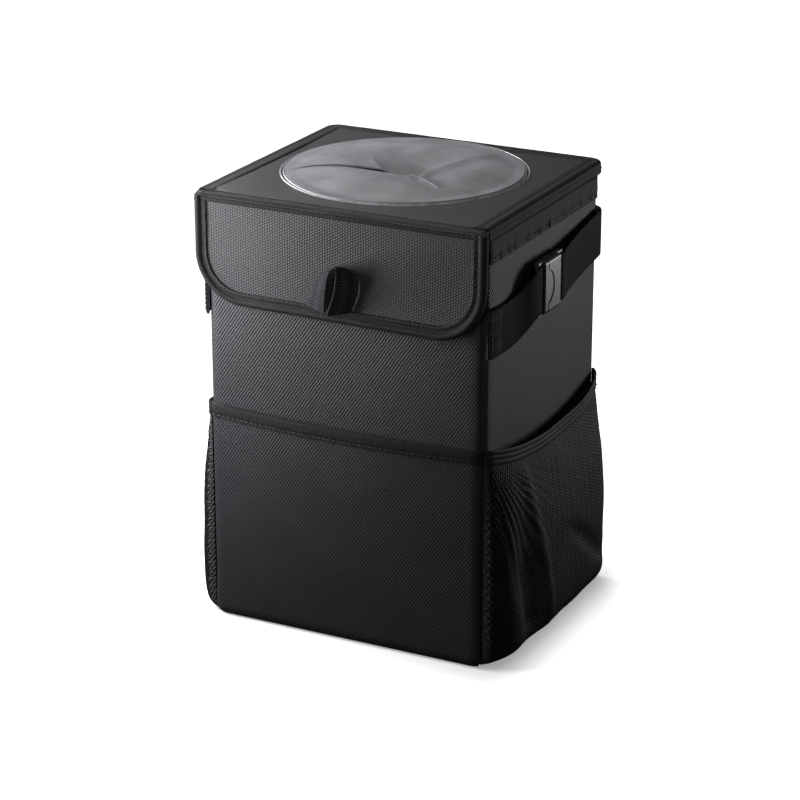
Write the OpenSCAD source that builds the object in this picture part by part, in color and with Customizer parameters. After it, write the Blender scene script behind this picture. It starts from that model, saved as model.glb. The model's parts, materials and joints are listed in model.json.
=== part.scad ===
// Car storage bag: a stiffened fabric tub with a hinged lid, a leaf opening, a front flap,
// a front pocket, two gathered mesh side pockets and a buckled strap.
// The origin is the middle of the base. X runs to the right, Y to the back and Z up.

/* [Body] */
// Width of the tub from side seam to side seam
body_w = 201; // [180:1:240]
// Depth of the tub from front to back
body_d = 177.5; // [172:0.5:220]
// Height of the tub to the top of its rim binding
body_h = 290; // [270:1:330]
// Radius of the upright corners
corner_r = 9; // [9:0.5:14]
// Radius of the edge round the base
base_r = 8; // [6:0.5:8]
// How far the middle of each wall bows outwards
wall_bow = 1.6; // [0.4:0.1:2]
// Thickness of the shell fabric
fabric_t = 1; // [0.6:0.1:1.2]
// Thickness of the stiffener boards in the walls and base
board_t = 1.6; // [1:0.1:2.5]
// Thickness of the waterproof liner
liner_t = 0.8; // [0.4:0.1:1.2]
// Height of the binding round the rim
rim_w = 16; // [10:1:24]
// Thickness of the binding tape
tape_t = 0.8; // [0.5:0.1:1]

/* [Front pocket] */
// Height of the front pocket's mouth
pocket_h = 152.5; // [100:0.5:180]
// How far the middle of the pocket's mouth stands off the front wall
pocket_belly = 6; // [5.5:0.1:9]
// Width of the binding along the pocket's mouth
pocket_tape_w = 9; // [6:0.5:14]

/* [Mesh pockets] */
// Height of the mesh pocket's mouth at the corner seams
mesh_h = 152.5; // [110:0.5:180]
// How far the mouth sags in the middle
mesh_sag = 10; // [2:0.5:20]
// How far the pocket bulges from the side wall
mesh_bulge = 17; // [9:0.5:22]
// How far the mouth stands off the side wall
mesh_mouth = 7; // [6:0.5:12]
// Thickness of the mesh
mesh_t = 1; // [0.6:0.1:1.4]
// Width of the elastic along the mouth
elastic_w = 10; // [6:0.5:14]
// Thickness of the elastic
elastic_t = 2; // [1.4:0.1:2.6]
// Depth of the gathers in the mesh
gather_depth = 1.1; // [0:0.1:1.6]
// Depth of the long slanting fold in the mesh
fold_depth = 3.4; // [0:0.1:5]

/* [Strap] */
// Width of the webbing
web_w = 32; // [25:1:36]
// Thickness of the webbing
web_t = 1.5; // [1:0.1:1.8]
// Height from the rim's top of the webbing's middle line where it is sewn to the front corners
strap_low = -62.5; // [-80:0.5:-55]
// Height from the rim's top of the middle line behind the bag
strap_high = -40; // [-50:0.5:-35]
// How far the strap hangs off the back wall
strap_slack = 11; // [8:0.5:25]
// Length of the sewn tab at each end of the strap
strap_tab_l = 7; // [5:0.5:12]

/* [Buckle] */
// Height from the rim's top of the buckle's middle line
buckle_z = -49; // [-55:0.5:-40]
// Place of the short strap's bar along the side, from the middle
buckle_y = -24; // [-40:1:-20]
// Distance of the buckle's middle plane from the side seam line
buckle_off = 5.5; // [5.5:0.1:9]
// Thickness of the buckle
buckle_t = 8; // [7:0.5:8.5]
// Radius of the bars that the webbing folds round
bar_r = 1.5; // [1.2:0.1:1.8]
// Width of the slots beside the bars
slot_w = 4; // [3.6:0.1:5]
// Length of the plug's body
plug_l = 4; // [4:0.5:8]
// Radius of the plug's round tongue
tongue_r = 12; // [8:0.5:13]
// Length of the plug's spring arms
arm_l = 16; // [15:0.5:22]
// Thickness of the buckle's rails, arms and walls
rail_t = 2; // [1.6:0.1:2.4]

/* [Lid] */
// Width of the lid
lid_w = 205; // [200:1:246]
// Thickness of the foam board in the lid
lid_board_t = 4; // [3:0.5:6]
// Width of the binding round the lid's edges
lid_tape_w = 11; // [6:0.5:16]
// How far the lid's edge passes the back wall
lid_lap = 1.4; // [1:0.1:3]

/* [Opening] */
// Outer radius of the opening's ring
ring_r = 82; // [60:0.5:84]
// Width of the ring
ring_w = 3.4; // [2.5:0.1:5]
// Height of the ring above the lid
ring_h = 2.2; // [1.4:0.1:3]
// Place of the ring's centre across the lid
ring_x = -3; // [-6:0.5:6]
// Place of the ring's centre from front to back
ring_y = 5.5; // [2:0.5:6]
// Width of the leaves' clamped rim
leaf_rim_w = 7; // [4:0.5:10]
// Thickness of the leaves
leaf_t = 1.2; // [0.8:0.1:1.6]
// Place across of the point where the leaves meet, from the ring's centre
leaf_x = 15.5; // [0:0.5:20]
// Place from front to back of that point, from the ring's centre
leaf_y = -14.5; // [-20:0.5:0]
// How far the leaves rise as a dome
leaf_dome = 2.4; // [0:0.1:4]
// How far the back leaf sinks towards the middle
leaf_sink = 13; // [4:0.5:18]

/* [Flap] */
// How much wider than the lid the flap is on each side
flap_lap = 1; // [0:0.1:3]
// Width of the front flap
flap_w = lid_w + 2 * flap_lap;
// How far the flap hangs below the lid's fold
flap_drop = 71; // [50:1:90]
// Radius of the flap's lower corners
flap_r = 34; // [16:1:44]
// How far the flap's lower right corner stands forward
flap_flare = 4; // [0:0.5:8]
// Thickness of the flap's foam board
flap_board_t = 1.6; // [1:0.1:3]
// Width of the binding round the flap
flap_tape_w = 9.5; // [6:0.5:14]

/* [Pull tab] */
// Width of the loop across the flap
tab_w = 34; // [24:1:44]
// Height of the loop
tab_h = 33; // [24:1:40]
// How far the loop stands off the flap
tab_proud = 12; // [6:0.5:18]
// Thickness of the loop's webbing
tab_t = 1.8; // [1.2:0.1:2.4]
// Place of the loop across the flap
tab_x = -4; // [-20:1:20]

/* [Closure] */
// Width of the hook and loop patches
patch_w = 60; // [30:1:100]
// Height of the hook and loop patches
patch_h = 16; // [10:1:24]
// Thickness of each patch
patch_t = 0.6; // [0.4:0.1:0.8]

/* [Hidden] */

// Clearance between pieces that lie on each other, and between parts that move past each other
lay = 0.1;
run = 0.3;
// Smallest radius of an inner corner
tight_r = 0.6;
// Height of the boards' top edge below the panels, and the radius of the boards' corners
board_gap = 1;
board_r = 4;
// How far below the lid's top the flap starts
seam_drop = 2.6;
// Thickness of the hinge tape
hinge_t = 0.4;
// How far apart the closure's patches and the pull tab are from the flap's binding
patch_gap = 4;
tab_gap = 1;
// The four sides, counted from the front to the right
front = 0;
right = 1;
back = 2;
left = 3;
// Angle at which a wall's fabric ends on an upright corner, just short of the seam
seam_a = 44.4;
// How far down the base edge the pockets are sewn
foot_a = 50;

shell_colour = "#2b2b2e";
tape_colour = "#1d1d1f";
web_colour = "#141416";
mesh_colour = "#1a1a1c";
board_colour = "#8a8a88";
liner_colour = "#6c6e72";
leaf_colour = "#77777a";
ring_colour = "#c9c9cb";
plastic_colour = "#4a4a4e";

// Heights and depths that follow from the sizes above
rim_z = body_h - rim_w;
board_d = -(fabric_t + lay);
liner_d = board_d - board_t - lay;
liner_in = liner_d - liner_t;
floor_z = fabric_t + run;
liner_z = max(floor_z + board_t + run, foot_height(liner_d + 2 * run));
panel_top = body_h - tape_t - lay;
lid_z = body_h + run + lay;
lining_z = lid_z + tape_t + lay;
lid_board_z = lining_z + liner_t + lay;
cover_z = lid_board_z + lid_board_t + lay;
cover_top = cover_z + fabric_t;
lid_top = cover_top + lay + tape_t;
lid_front = body_d / 2 + tape_t + 2 * lay;
lid_back = body_d / 2 + lid_lap;
hole_r = ring_r - ring_w - leaf_rim_w;
leaf_r = ring_r - ring_w - 2 * lay;
flap_top = lid_top - seam_drop;
flap_low = flap_top - flap_drop;
flap_stack = liner_t + lay + flap_board_t + lay + fabric_t;
flap_y = lid_front + tape_t + lay + 2 * run;

// Walks round the body. A stop is [side, part, t]: part -1 is the corner on the side's left with t in
// degrees from its middle, part 0 the straight wall with t from -1 to 1, and part 1 the corner on the right.
function span(side) = side % 2 == 0 ? body_w / 2 : body_d / 2;
function reach(side) = side % 2 == 0 ? body_d / 2 : body_w / 2;
function turned(p, side) =
    side == front ? p : side == right ? [-p[1], p[0]] : side == back ? [-p[0], -p[1]] : [p[1], -p[0]];
function corner_at(d) = max(corner_r + d, tight_r);
// Place of a stop at a distance d outside the shell, pushed a further e along the wall's normal
function spot(stop, d, e = 0) =
    let (side = stop[0], part = stop[1], t = stop[2], r = corner_at(d),
         a = span(side) + d, b = reach(side) + d,
         n = part == 0 ? [0, -1] : [part * sin(t), -cos(t)],
         c = part == 0 ? [t * (a - r), -b] : [part * (a - r) + r * n[0], r - b + r * n[1]])
    turned(c + e * n, side);
// Fraction of the way from the side's middle to its seam, -1 to 1
function share(stop) =
    let (flat = span(stop[0]) - corner_r, arc = corner_r * seam_a * PI / 180)
    stop[1] == 0 ? stop[2] * flat / (flat + arc)
                 : stop[1] * (flat + corner_r * stop[2] * PI / 180) / (flat + arc);

function left_corner(side, n) = [for (i = [0:n - 1]) [side, -1, seam_a * (1 - i / n)]];
function straight(side, n, from = -1, to = 1) = [for (i = [0:n]) [side, 0, from + (to - from) * i / n]];
function right_corner(side, n) = [for (i = [1:n]) [side, 1, seam_a * i / n]];
function side_stops(side, n) = concat(left_corner(side, 2), straight(side, n), right_corner(side, 2));

// Outward bow of a wall at a stop and a height: none at the seams, the base and the rim
function bow(stop, z) =
    stop[1] != 0 || z <= 0 || z >= rim_z ? 0 : wall_bow * (1 - stop[2] * stop[2]) * sin(180 * z / rim_z);
// [offset, height] of a layer that lies off outside the shell's face, down round the base edge by an angle
function foot(off, a) = [(base_r + off) * cos(a) - base_r, base_r - (base_r + off) * sin(a)];
function layer_rows(off, lowest, top, n) = let (bowed = min(top, rim_z)) concat(
    [for (i = [0:3]) foot(off, lowest * (1 - i / 4))],
    [for (i = [0:n]) [off, base_r + (bowed - base_r) * i / n]],
    top > bowed ? [[off, top]] : []);
// Height at which the inner face of the wall's fabric comes in to an offset d, on its way round the base edge
function foot_height(d) = base_r - sqrt(pow(base_r - fabric_t, 2) - pow(base_r + d, 2));
function with_z(p, z) = [p[0], p[1], z];

// Triangles of a closed sheet of two grids, n points to a row and m rows, the outer grid first
function sheet_faces(n, m) =
    let (k = n * m)
    concat(
        [for (j = [0:m - 2], i = [0:n - 2]) let (p = j * n + i)
            each [[p, p + n, p + n + 1], [p, p + n + 1, p + 1],
                  [p + k, p + n + 1 + k, p + n + k], [p + k, p + 1 + k, p + n + 1 + k]]],
        [for (i = [0:n - 2]) let (p = i, q = (m - 1) * n + i)
            each [[p, p + 1, p + 1 + k], [p, p + 1 + k, p + k],
                  [q + 1, q, q + k], [q + 1, q + k, q + 1 + k]]],
        [for (j = [0:m - 2]) let (p = j * n, q = j * n + n - 1)
            each [[p + n, p, p + k], [p + n, p + k, p + n + k],
                  [q, q + n, q + n + k], [q, q + n + k, q + k]]]);
module sheet(outer, inner, n) {
    polyhedron(points = concat(outer, inner), faces = sheet_faces(n, len(outer) / n), convexity = 8);
}

// Tube through rings of n points each, closed at both ends
module tube(rings) {
    n = len(rings[0]);
    m = len(rings);
    polyhedron(
        points = [for (ring = rings) each ring],
        faces = concat(
            [for (j = [0:m - 2], i = [0:n - 1]) let (a = j * n + i, b = j * n + (i + 1) % n)
                each [[a, b, b + n], [a, b + n, a + n]]],
            [[for (i = [0:n - 1]) n - 1 - i], [for (i = [0:n - 1]) (m - 1) * n + i]]),
        convexity = 8);
}

// Plan of the body at a distance d outside the shell
module plan(d) {
    r = corner_at(d);
    w = body_w + 2 * d;
    l = body_d + 2 * d;
    square([w - 2 * r, l], center = true);
    square([w, l - 2 * r], center = true);
    for (x = [-1, 1], y = [-1, 1])
        translate([x * (w / 2 - r), y * (l / 2 - r)]) circle(r, $fn = 48);
}
module block(d, z0, z1) {
    translate([0, 0, z0]) linear_extrude(z1 - z0) plan(d);
}
// Upright frame between two distances from the shell
module frame(d_out, d_in, z0, z1) {
    difference() {
        block(d_out, z0, z1);
        block(d_in, z0 - 1, z1 + 1);
    }
}
// Flat plate with rounded corners, lying from z = 0 up
module plate(w, h, t, r) {
    linear_extrude(t) {
        square([w - 2 * r, h], center = true);
        square([w, h - 2 * r], center = true);
        for (x = [-1, 1], y = [-1, 1])
            translate([x * (w / 2 - r), y * (h / 2 - r)]) circle(r, $fn = 32);
    }
}

// Tub: walls, base, boards, liner and rim

// One wall of shell fabric, from the rim down round the base edge
module wall_panel(side) {
    stops = side_stops(side, 6);
    outer = layer_rows(0, 90, panel_top, 8);
    inner = layer_rows(-fabric_t, 90, panel_top, 8);
    color(shell_colour) sheet(
        [for (row = outer, s = stops) with_z(spot(s, row[0], bow(s, row[1])), row[1])],
        [for (i = [0:len(outer) - 1], s = stops)
            with_z(spot(s, inner[i][0], bow(s, outer[i][1])), inner[i][1])],
        len(stops));
}
module base_panel() {
    color(shell_colour) block(-base_r - 2 * lay, 0, fabric_t);
}
// Stiffener board behind one wall, short of the upright corners and of the base edge
module wall_board(side) {
    foot_z = base_r;
    top_z = panel_top - board_gap;
    w = 2 * (span(side) - corner_r - lay);
    color(board_colour) rotate([0, 0, 90 * side])
        translate([0, board_t - reach(side) - board_d, (foot_z + top_z) / 2]) rotate([90, 0, 0])
            plate(w, top_z - foot_z, board_t, board_r);
}
module base_board() {
    edge = base_r - sqrt(pow(base_r - fabric_t, 2) - pow(base_r - floor_z, 2)) + 2 * run;
    color(board_colour) block(-edge, floor_z, floor_z + board_t);
}
module liner() {
    color(liner_colour) difference() {
        block(liner_d, liner_z, panel_top);
        block(liner_in, liner_z + liner_t, panel_top + 1);
    }
}
// Tape folded over the rim of the shell, the boards and the liner
module rim_binding() {
    inner_leg_h = rim_w * 0.6;
    color(tape_colour) {
        frame(lay + tape_t, lay, rim_z, body_h);
        frame(lay + tape_t, liner_in - lay - tape_t, body_h - tape_t, body_h);
        frame(liner_in - lay, liner_in - lay - tape_t, body_h - inner_leg_h, body_h);
    }
}

// Front pocket

// Stand-off of the pocket from the front wall's plane: the wall's own bow and the pocket's belly
function belly(stop, z) =
    bow(stop, z) + pocket_belly * (1 - pow(share(stop), 2)) * sin(90 * min(1, max(0, z) / pocket_h));
module front_pocket() {
    stops = side_stops(front, 8);
    top = pocket_h - tape_t - lay;
    outer = layer_rows(run + fabric_t, foot_a, top, 6);
    inner = layer_rows(run, foot_a, top, 6);
    color(shell_colour) sheet(
        [for (row = outer, s = stops) with_z(spot(s, row[0], belly(s, row[1])), row[1])],
        [for (i = [0:len(outer) - 1], s = stops)
            with_z(spot(s, inner[i][0], belly(s, outer[i][1])), inner[i][1])],
        len(stops));
}
// Tape over the pocket's mouth, down its outer face
module front_pocket_binding() {
    face = run + fabric_t;
    low = pocket_h - pocket_tape_w;
    profile = [[face + lay, low], [face + lay, pocket_h - tape_t], [run, pocket_h - tape_t],
               [run, pocket_h], [face + lay + tape_t, pocket_h], [face + lay + tape_t, low]];
    color(tape_colour) tube([for (s = side_stops(front, 8))
        [for (p = profile) with_z(spot(s, p[0], belly(s, p[1])), p[1])]]);
}

// Mesh pockets

mesh_foot_z = 2.2;
mesh_round_h = 21;
mesh_foot_rows = 5;
mesh_rows = 8;
mesh_stops_n = 22;
// Height below the elastic over which the gathers and the fold fade out
mesh_fade_h = 8;
// How full the mesh stays towards its seams: the higher this power, the closer to them it swells
mesh_fullness = 10;
function mouth_z(side, stop) = mesh_h - mesh_sag * (1 - pow(share(stop), 2));
// Offset from the shell's face that keeps the mesh on the base edge where it is low
function foot_off(z) =
    z >= base_r ? run : sqrt(max(0, pow(base_r + run, 2) - pow(base_r - z, 2))) - base_r;
function mesh_swell(z, top) =
    z < mesh_foot_z + mesh_round_h
        ? mesh_bulge * sqrt(1 - pow(1 - max(0, z - mesh_foot_z) / mesh_round_h, 3))
        : mesh_mouth + (mesh_bulge - mesh_mouth)
            * cos(90 * pow((z - mesh_foot_z - mesh_round_h) / (top - mesh_foot_z - mesh_round_h), 1.6));
// Long fold that runs from the mouth's front end down to the middle of the foot
function mesh_fold(u, z, top) =
    let (line = -0.62 + 0.66 * (1 - z / top))
    fold_depth * exp(-pow((u - line) / 0.085, 2)) * sin(180 * min(1, z / top));
function mesh_gather(u, z, top) = gather_depth * cos(360 * 5.5 * u) * (0.35 + 0.65 * pow(z / top, 2));
// The two pockets mirror each other, so the share counts from the front seam on both sides
function mesh_e(side, stop, z, top) =
    let (u = side == right ? share(stop) : -share(stop), free = 1 - pow(abs(u), mesh_fullness),
         worked = min(1, max(0, z - mesh_foot_z) / mesh_round_h) * min(1, (top - z) / mesh_fade_h))
    free * (mesh_swell(z, top) + bow(stop, z) + (mesh_gather(u, z, top) - mesh_fold(u, z, top)) * worked);
function mesh_z(i, top) =
    i <= mesh_foot_rows ? mesh_foot_z + mesh_round_h * pow(i / mesh_foot_rows, 2)
                        : mesh_foot_z + mesh_round_h
                            + (top - mesh_foot_z - mesh_round_h) * (i - mesh_foot_rows) / mesh_rows;
module mesh_pocket(side) {
    stops = side_stops(side, mesh_stops_n);
    grid = function (off)
        [for (i = [0:mesh_foot_rows + mesh_rows], s = stops)
            let (top = mouth_z(side, s) - elastic_w - lay, z = mesh_z(i, top))
            with_z(spot(s, foot_off(z), mesh_e(side, s, z, top) + off), z)];
    color(mesh_colour) sheet(grid(mesh_t), grid(0), len(stops));
}
module mesh_elastic(side) {
    stops = side_stops(side, mesh_stops_n);
    grid = function (off)
        [for (i = [0:2], s = stops)
            let (top = mouth_z(side, s) - elastic_w, z = top + elastic_w * i / 2)
            with_z(spot(s, run, mesh_e(side, s, top - lay, top - lay) + off), z)];
    color(tape_colour) sheet(grid(elastic_t), grid(0), len(stops));
}

// Strap and buckle

side_x = body_w / 2;
bar_x = side_x + buckle_off;
web_gap = 0.2;
loop_r = bar_r + web_gap + web_t / 2;
strap_off = run + web_t / 2 + wall_bow / 2;
plug_rail_x = bar_r + slot_w;
socket_l = arm_l + rail_t;
plug_bar_y = buckle_y;
socket_y = plug_bar_y + plug_rail_x + plug_l + run;
socket_bar_y = socket_y + socket_l + slot_w + bar_r;
buckle_w = web_w + 2 * rail_t + 2 * web_gap;
strap_from_y = corner_r + strap_tab_l - body_d / 2;
low_mid = body_h + strap_low;
high_mid = body_h + strap_high;
buckle_mid = body_h + buckle_z;

function ease(t) = let (u = min(1, max(0, t))) u * u * (3 - 2 * u);
function unit(v) = v / norm(v);
// Ribbon of webbing along its middle line of [x, y, middle height] points, its width upright
module webbing(path) {
    last = len(path) - 1;
    tube([for (i = [0:last])
        let (p = path[i], a = path[max(0, i - 1)], b = path[min(last, i + 1)],
             d = unit([b[0] - a[0], b[1] - a[1]]), n = [d[1], -d[0]] * web_t / 2)
        [[p[0] - n[0], p[1] - n[1], p[2] - web_w / 2], [p[0] - n[0], p[1] - n[1], p[2] + web_w / 2],
         [p[0] + n[0], p[1] + n[1], p[2] + web_w / 2], [p[0] + n[0], p[1] + n[1], p[2] - web_w / 2]]]);
}
// Half turn of webbing round an upright bar, from the outer layer to the inner one, towards dir along Y
function bar_turn(y, dir) =
    [for (i = [0:6]) [bar_x + loop_r * cos(30 * i), y + dir * loop_r * sin(30 * i), buckle_mid]];
tail_l = 9;
// Lengths over which the short strap rises to the buckle and runs straight at its bar
rise_l = 24;
lead_l = 6;
// From the front seam back to the plug's bar, round it, and a sewn tail behind
module short_strap() {
    from_y = strap_from_y + lay;
    to_y = plug_bar_y - lead_l / 2;
    color(web_colour) webbing(concat(
        [for (i = [0:9]) let (y = from_y + (to_y - from_y) * i / 9,
                              t = ease((y - plug_bar_y + lead_l + rise_l) / rise_l))
            [side_x + strap_off + (bar_x + loop_r - side_x - strap_off) * t, y,
             low_mid + (buckle_mid - low_mid) * t]],
        bar_turn(plug_bar_y, 1),
        [for (i = [1:2]) [bar_x - loop_r, plug_bar_y - tail_l * i / 2, buckle_mid]]));
}
// From the socket's bar along the right side, slack behind the bag and down the left side
function strap_z(side, t) =
    side == right ? buckle_mid + (high_mid - buckle_mid) * ease((t + 1) / 2)
                  : low_mid + (high_mid - low_mid) * ease((t + 1) / 2);
// How far the webbing stands off the back corners, where it bends too stiffly to lie on them
corner_gap = 2.4;
module long_strap() {
    near = strap_off;
    wide = run + corner_gap + web_t / 2;
    start_t = (socket_bar_y + tail_l / 2) / (body_d / 2 - corner_r);
    end_t = 0.94;
    corner = function (side) [for (i = [0:4]) with_z(spot([side, 1, 22.5 * i], wide), high_mid)];
    color(web_colour) webbing(concat(
        [for (i = [2:-1:1]) [bar_x - loop_r, socket_bar_y + tail_l * i / 2, buckle_mid]],
        [for (i = [6:-1:0]) bar_turn(socket_bar_y, -1)[i]],
        [for (i = [0:5]) let (t = start_t + (end_t - start_t) * i / 5, u = ease(i / 3), v = ease((i - 3) / 2))
            with_z(spot([right, 0, t], (bar_x + loop_r - side_x) * (1 - u) + near * u * (1 - v) + wide * v),
                   strap_z(right, t))],
        corner(right),
        [for (i = [1:9]) let (t = i / 5 - 1)
            with_z(spot([back, 0, t], wide, (strap_slack - corner_gap) * pow(cos(90 * t), 0.8)), high_mid)],
        corner(back),
        [for (i = [1:8]) let (t = -1 + 1.86 * i / 8)
            with_z(spot([left, 0, t], wide + (near - wide) * ease(i / 4)), strap_z(left, -t))],
        [[-side_x - near, strap_from_y + lay, low_mid]]));
}
// Folded and sewn end of the strap at a front corner
module strap_tab(dir) {
    thick = 2 * web_t;
    x = side_x + run + wall_bow / 4 + thick / 2;
    color(web_colour) translate([dir * x, strap_from_y - strap_tab_l / 2, low_mid])
        cube([thick, strap_tab_l, web_w], center = true);
}

// The buckle is drawn with X along the strap, Y across the webbing and Z through its thickness
module on_side(y) {
    translate([bar_x, y, buckle_mid]) rotate([90, 0, 90]) children();
}
module webbing_bar(x) {
    translate([x, 0, 0]) rotate([90, 0, 0])
        cylinder(r = bar_r, h = buckle_w - rail_t, center = true, $fn = 32);
}
module rails(x0, x1, t) {
    for (y = [-1, 1])
        translate([(x0 + x1) / 2, y * (buckle_w - rail_t) / 2, 0]) cube([x1 - x0, rail_t, t], center = true);
}
// Body of the buckle between two places along the strap, rounded in its outline and along its edges
module buckle_body(x0, x1, t) {
    module outline(a0, a1, b, r) {
        translate([(a0 + a1) / 2, 0]) {
            square([a1 - a0 - 2 * r, b], center = true);
            square([a1 - a0, b - 2 * r], center = true);
            for (x = [-1, 1], y = [-1, 1])
                translate([x * ((a1 - a0) / 2 - r), y * (b / 2 - r)]) circle(r, $fn = 32);
        }
    }
    intersection() {
        translate([0, 0, -t / 2]) linear_extrude(t) outline(x0, x1, buckle_w, buckle_r);
        translate([x0 - rail_t, 0, 0]) rotate([90, 0, 90]) linear_extrude(x1 - x0 + 2 * rail_t)
            outline(-buckle_w / 2, buckle_w / 2, t, edge_r);
    }
}
buckle_r = 1.8;
edge_r = 2.6;
plug_t = buckle_t - 0.6;
arm_y = web_w / 2 - 4.5;
arm_w = 3.2;
ear_y = buckle_w / 2 - 0.6;
ear_l = 6;
arm_t = 3.6;
guide_w = 4;
// Spring arm from its root out to its ear: the root is straight, the ear's outer side bulges
module spring_arm() {
    ear_x = arm_l - ear_l;
    outer = [for (i = [0:8]) let (a = 22.5 * i)
        [ear_x + ear_l / 2 * (1 - cos(a)), arm_y + (ear_y - arm_y) * pow(sin(a), 0.6)]];
    translate([0, 0, -arm_t / 2]) linear_extrude(arm_t) polygon(concat(
        [[-rail_t, arm_y - arm_w], [ear_x + ear_l / 2, arm_y - arm_w / 2], [arm_l, arm_y - rail_t / 2]],
        [for (i = [8:-1:0]) outer[i]],
        [[-rail_t, arm_y]]));
}
// Round tongue of the plug, and the notch in the socket that it fills
module tongue(x, t, gap) {
    translate([x, 0, -t / 2]) linear_extrude(t) difference() {
        circle(tongue_r + gap, $fn = 96);
        translate([-3 * tongue_r, -2 * tongue_r]) square([3 * tongue_r, 4 * tongue_r]);
    }
}
// Plug: the bar, its frame, the tongue, two spring arms with ears and a middle guide
module buckle_plug() {
    arm_x = plug_rail_x + plug_l;
    color(plastic_colour) on_side(plug_bar_y) {
        webbing_bar(0);
        rails(-bar_r, plug_rail_x + buckle_r, 2 * bar_r);
        buckle_body(plug_rail_x, arm_x, plug_t);
        tongue(plug_rail_x + rail_t / 2, plug_t - 2 * run, 0);
        for (s = [-1, 1]) mirror([0, s < 0 ? 1 : 0, 0]) translate([arm_x, 0, 0]) spring_arm();
        translate([arm_x + arm_l / 2 - rail_t, 0, 0]) cube([arm_l, guide_w, rail_t], center = true);
    }
}
// Socket: a hollow body open towards the plug, with a window in each edge, and its own bar
module buckle_socket() {
    cavity_y = buckle_w / 2 - rail_t;
    cavity_l = arm_l + run;
    window_l = ear_l + 2 * run;
    color(plastic_colour) on_side(socket_y) {
        difference() {
            buckle_body(0, socket_l, buckle_t);
            translate([(cavity_l - rail_t) / 2, 0, 0])
                cube([cavity_l + rail_t, 2 * cavity_y, arm_t + 2 * run], center = true);
            for (s = [-1, 1]) translate([arm_l - window_l / 2 + run, s * buckle_w / 2, 0])
                cube([window_l, 3 * rail_t, arm_t + 2 * run], center = true);
            tongue(rail_t / 2 - plug_l - run, 2 * buckle_t, run);
        }
        rails(socket_l - buckle_r, socket_l + slot_w + 2 * bar_r, 2 * bar_r);
        webbing_bar(socket_l + slot_w + bar_r);
    }
}

// Patch of the closure on the front wall, under the flap
patch_z = flap_low + flap_tape_w + patch_gap + patch_h / 2;
module flap_loop_patch() {
    half = patch_w / 2 / (body_w / 2 - corner_r);
    stops = straight(front, 4, -half, half);
    grid = function (d)
        [for (z = [patch_z - patch_h / 2, patch_z, patch_z + patch_h / 2], s = stops)
            with_z(spot(s, d, bow(s, z)), z)];
    color(tape_colour) sheet(grid(lay + patch_t), grid(lay), len(stops));
}
// Tape sewn to the back wall under the lid's hinge line
module lid_hinge_tape() {
    w = body_w - 2 * corner_r;
    low = rim_z + tape_t + board_gap;
    color(tape_colour) translate([-w / 2, body_d / 2 + tape_t + 2 * lay, low])
        cube([w, hinge_t, body_h - low]);
}

// Lid

module lid_plan(inset, front_inset) {
    r = corner_r - inset / 2;
    x = lid_w / 2 - inset;
    y0 = -lid_front + front_inset;
    y1 = lid_back - inset;
    translate([-x, y0]) square([2 * x, y1 - y0 - r]);
    translate([r - x, y0]) square([2 * (x - r), y1 - y0]);
    for (s = [-1, 1]) translate([s * (x - r), y1 - r]) circle(r, $fn = 48);
}
module lid_layer(z, t, inset, front_inset) {
    translate([0, 0, z]) linear_extrude(t) difference() {
        lid_plan(inset, front_inset);
        translate([ring_x, ring_y]) circle(hole_r, $fn = 96);
    }
}
// Top fabric with a hem turned down over the board's front edge
module lid_cover() {
    edge = tape_t + lay;
    color(shell_colour) {
        lid_layer(cover_z, fabric_t, edge, 0);
        translate([edge - lid_w / 2, -lid_front, lining_z])
            cube([lid_w - 2 * edge, fabric_t, cover_top - lining_z]);
    }
}
module lid_board() {
    color(board_colour) lid_layer(lid_board_z, lid_board_t, tape_t + lay, fabric_t + lay);
}
module lid_lining() {
    color(liner_colour) lid_layer(lining_z, liner_t, tape_t + lay, fabric_t + lay);
}
// Tape folded over the lid's left, back and right edges, as one channel
module lid_binding() {
    color(tape_colour) difference() {
        translate([0, 0, lid_z]) linear_extrude(lid_top - lid_z) lid_plan(0, 0);
        translate([0, 0, lid_z - 1]) linear_extrude(lid_top - lid_z + 2) binding_cutout();
        translate([0, 0, lid_z + tape_t]) linear_extrude(lid_top - lid_z - 2 * tape_t) lid_plan(tape_t, -1);
    }
}
// Inside of the channel's legs, which are narrower where the ring comes close
module binding_cutout() {
    clear_r = ring_r + lay;
    x0 = max(lid_w / 2 - lid_tape_w, clear_r - ring_x);
    x1 = max(lid_w / 2 - lid_tape_w, clear_r + ring_x);
    y0 = -lid_front - tape_t;
    y1 = max(lid_back - lid_tape_w, ring_y + clear_r);
    translate([-x0, y0]) square([x0 + x1, y1 - y0]);
}

// Ring and leaves of the opening

module opening_ring() {
    z = cover_top + lay;
    color(ring_colour) translate([ring_x, ring_y, z]) rotate_extrude($fn = 128)
        translate([ring_r - ring_w, 0]) {
            square([ring_w, ring_h / 2]);
            translate([0, ring_h / 2]) square([ring_w / 2, ring_h / 4]);
            translate([ring_w / 2, ring_h / 2]) intersection() {
                circle(ring_h / 2, $fn = 32);
                translate([-ring_w / 2, 0]) square([ring_w, ring_h]);
            }
        }
}
leaf_z = cover_top + lay;
leaf_slit = 0.5;
// Distance from the point where the leaves meet to the clamped rim, in a direction
function rim_reach(a) =
    let (along = leaf_x * cos(a) + leaf_y * sin(a), off = leaf_x * sin(a) - leaf_y * cos(a))
    sqrt(leaf_r * leaf_r - off * off) - along;
// Height of a leaf over the lid: flat where it is clamped, then domed, sinking to the middle by its share
function leaf_height(a, q, sink) =
    let (rim = leaf_rim_w / rim_reach(a), u = max(0, 1 - q - rim) / (1 - rim))
    leaf_dome * sin(min(90, 200 * u)) - sink * ease(u * 1.05) * u;
function slit_bend(a, q) = 16 * pow(q, 3) * exp(-pow((a - 180) / 20, 2));
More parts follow.
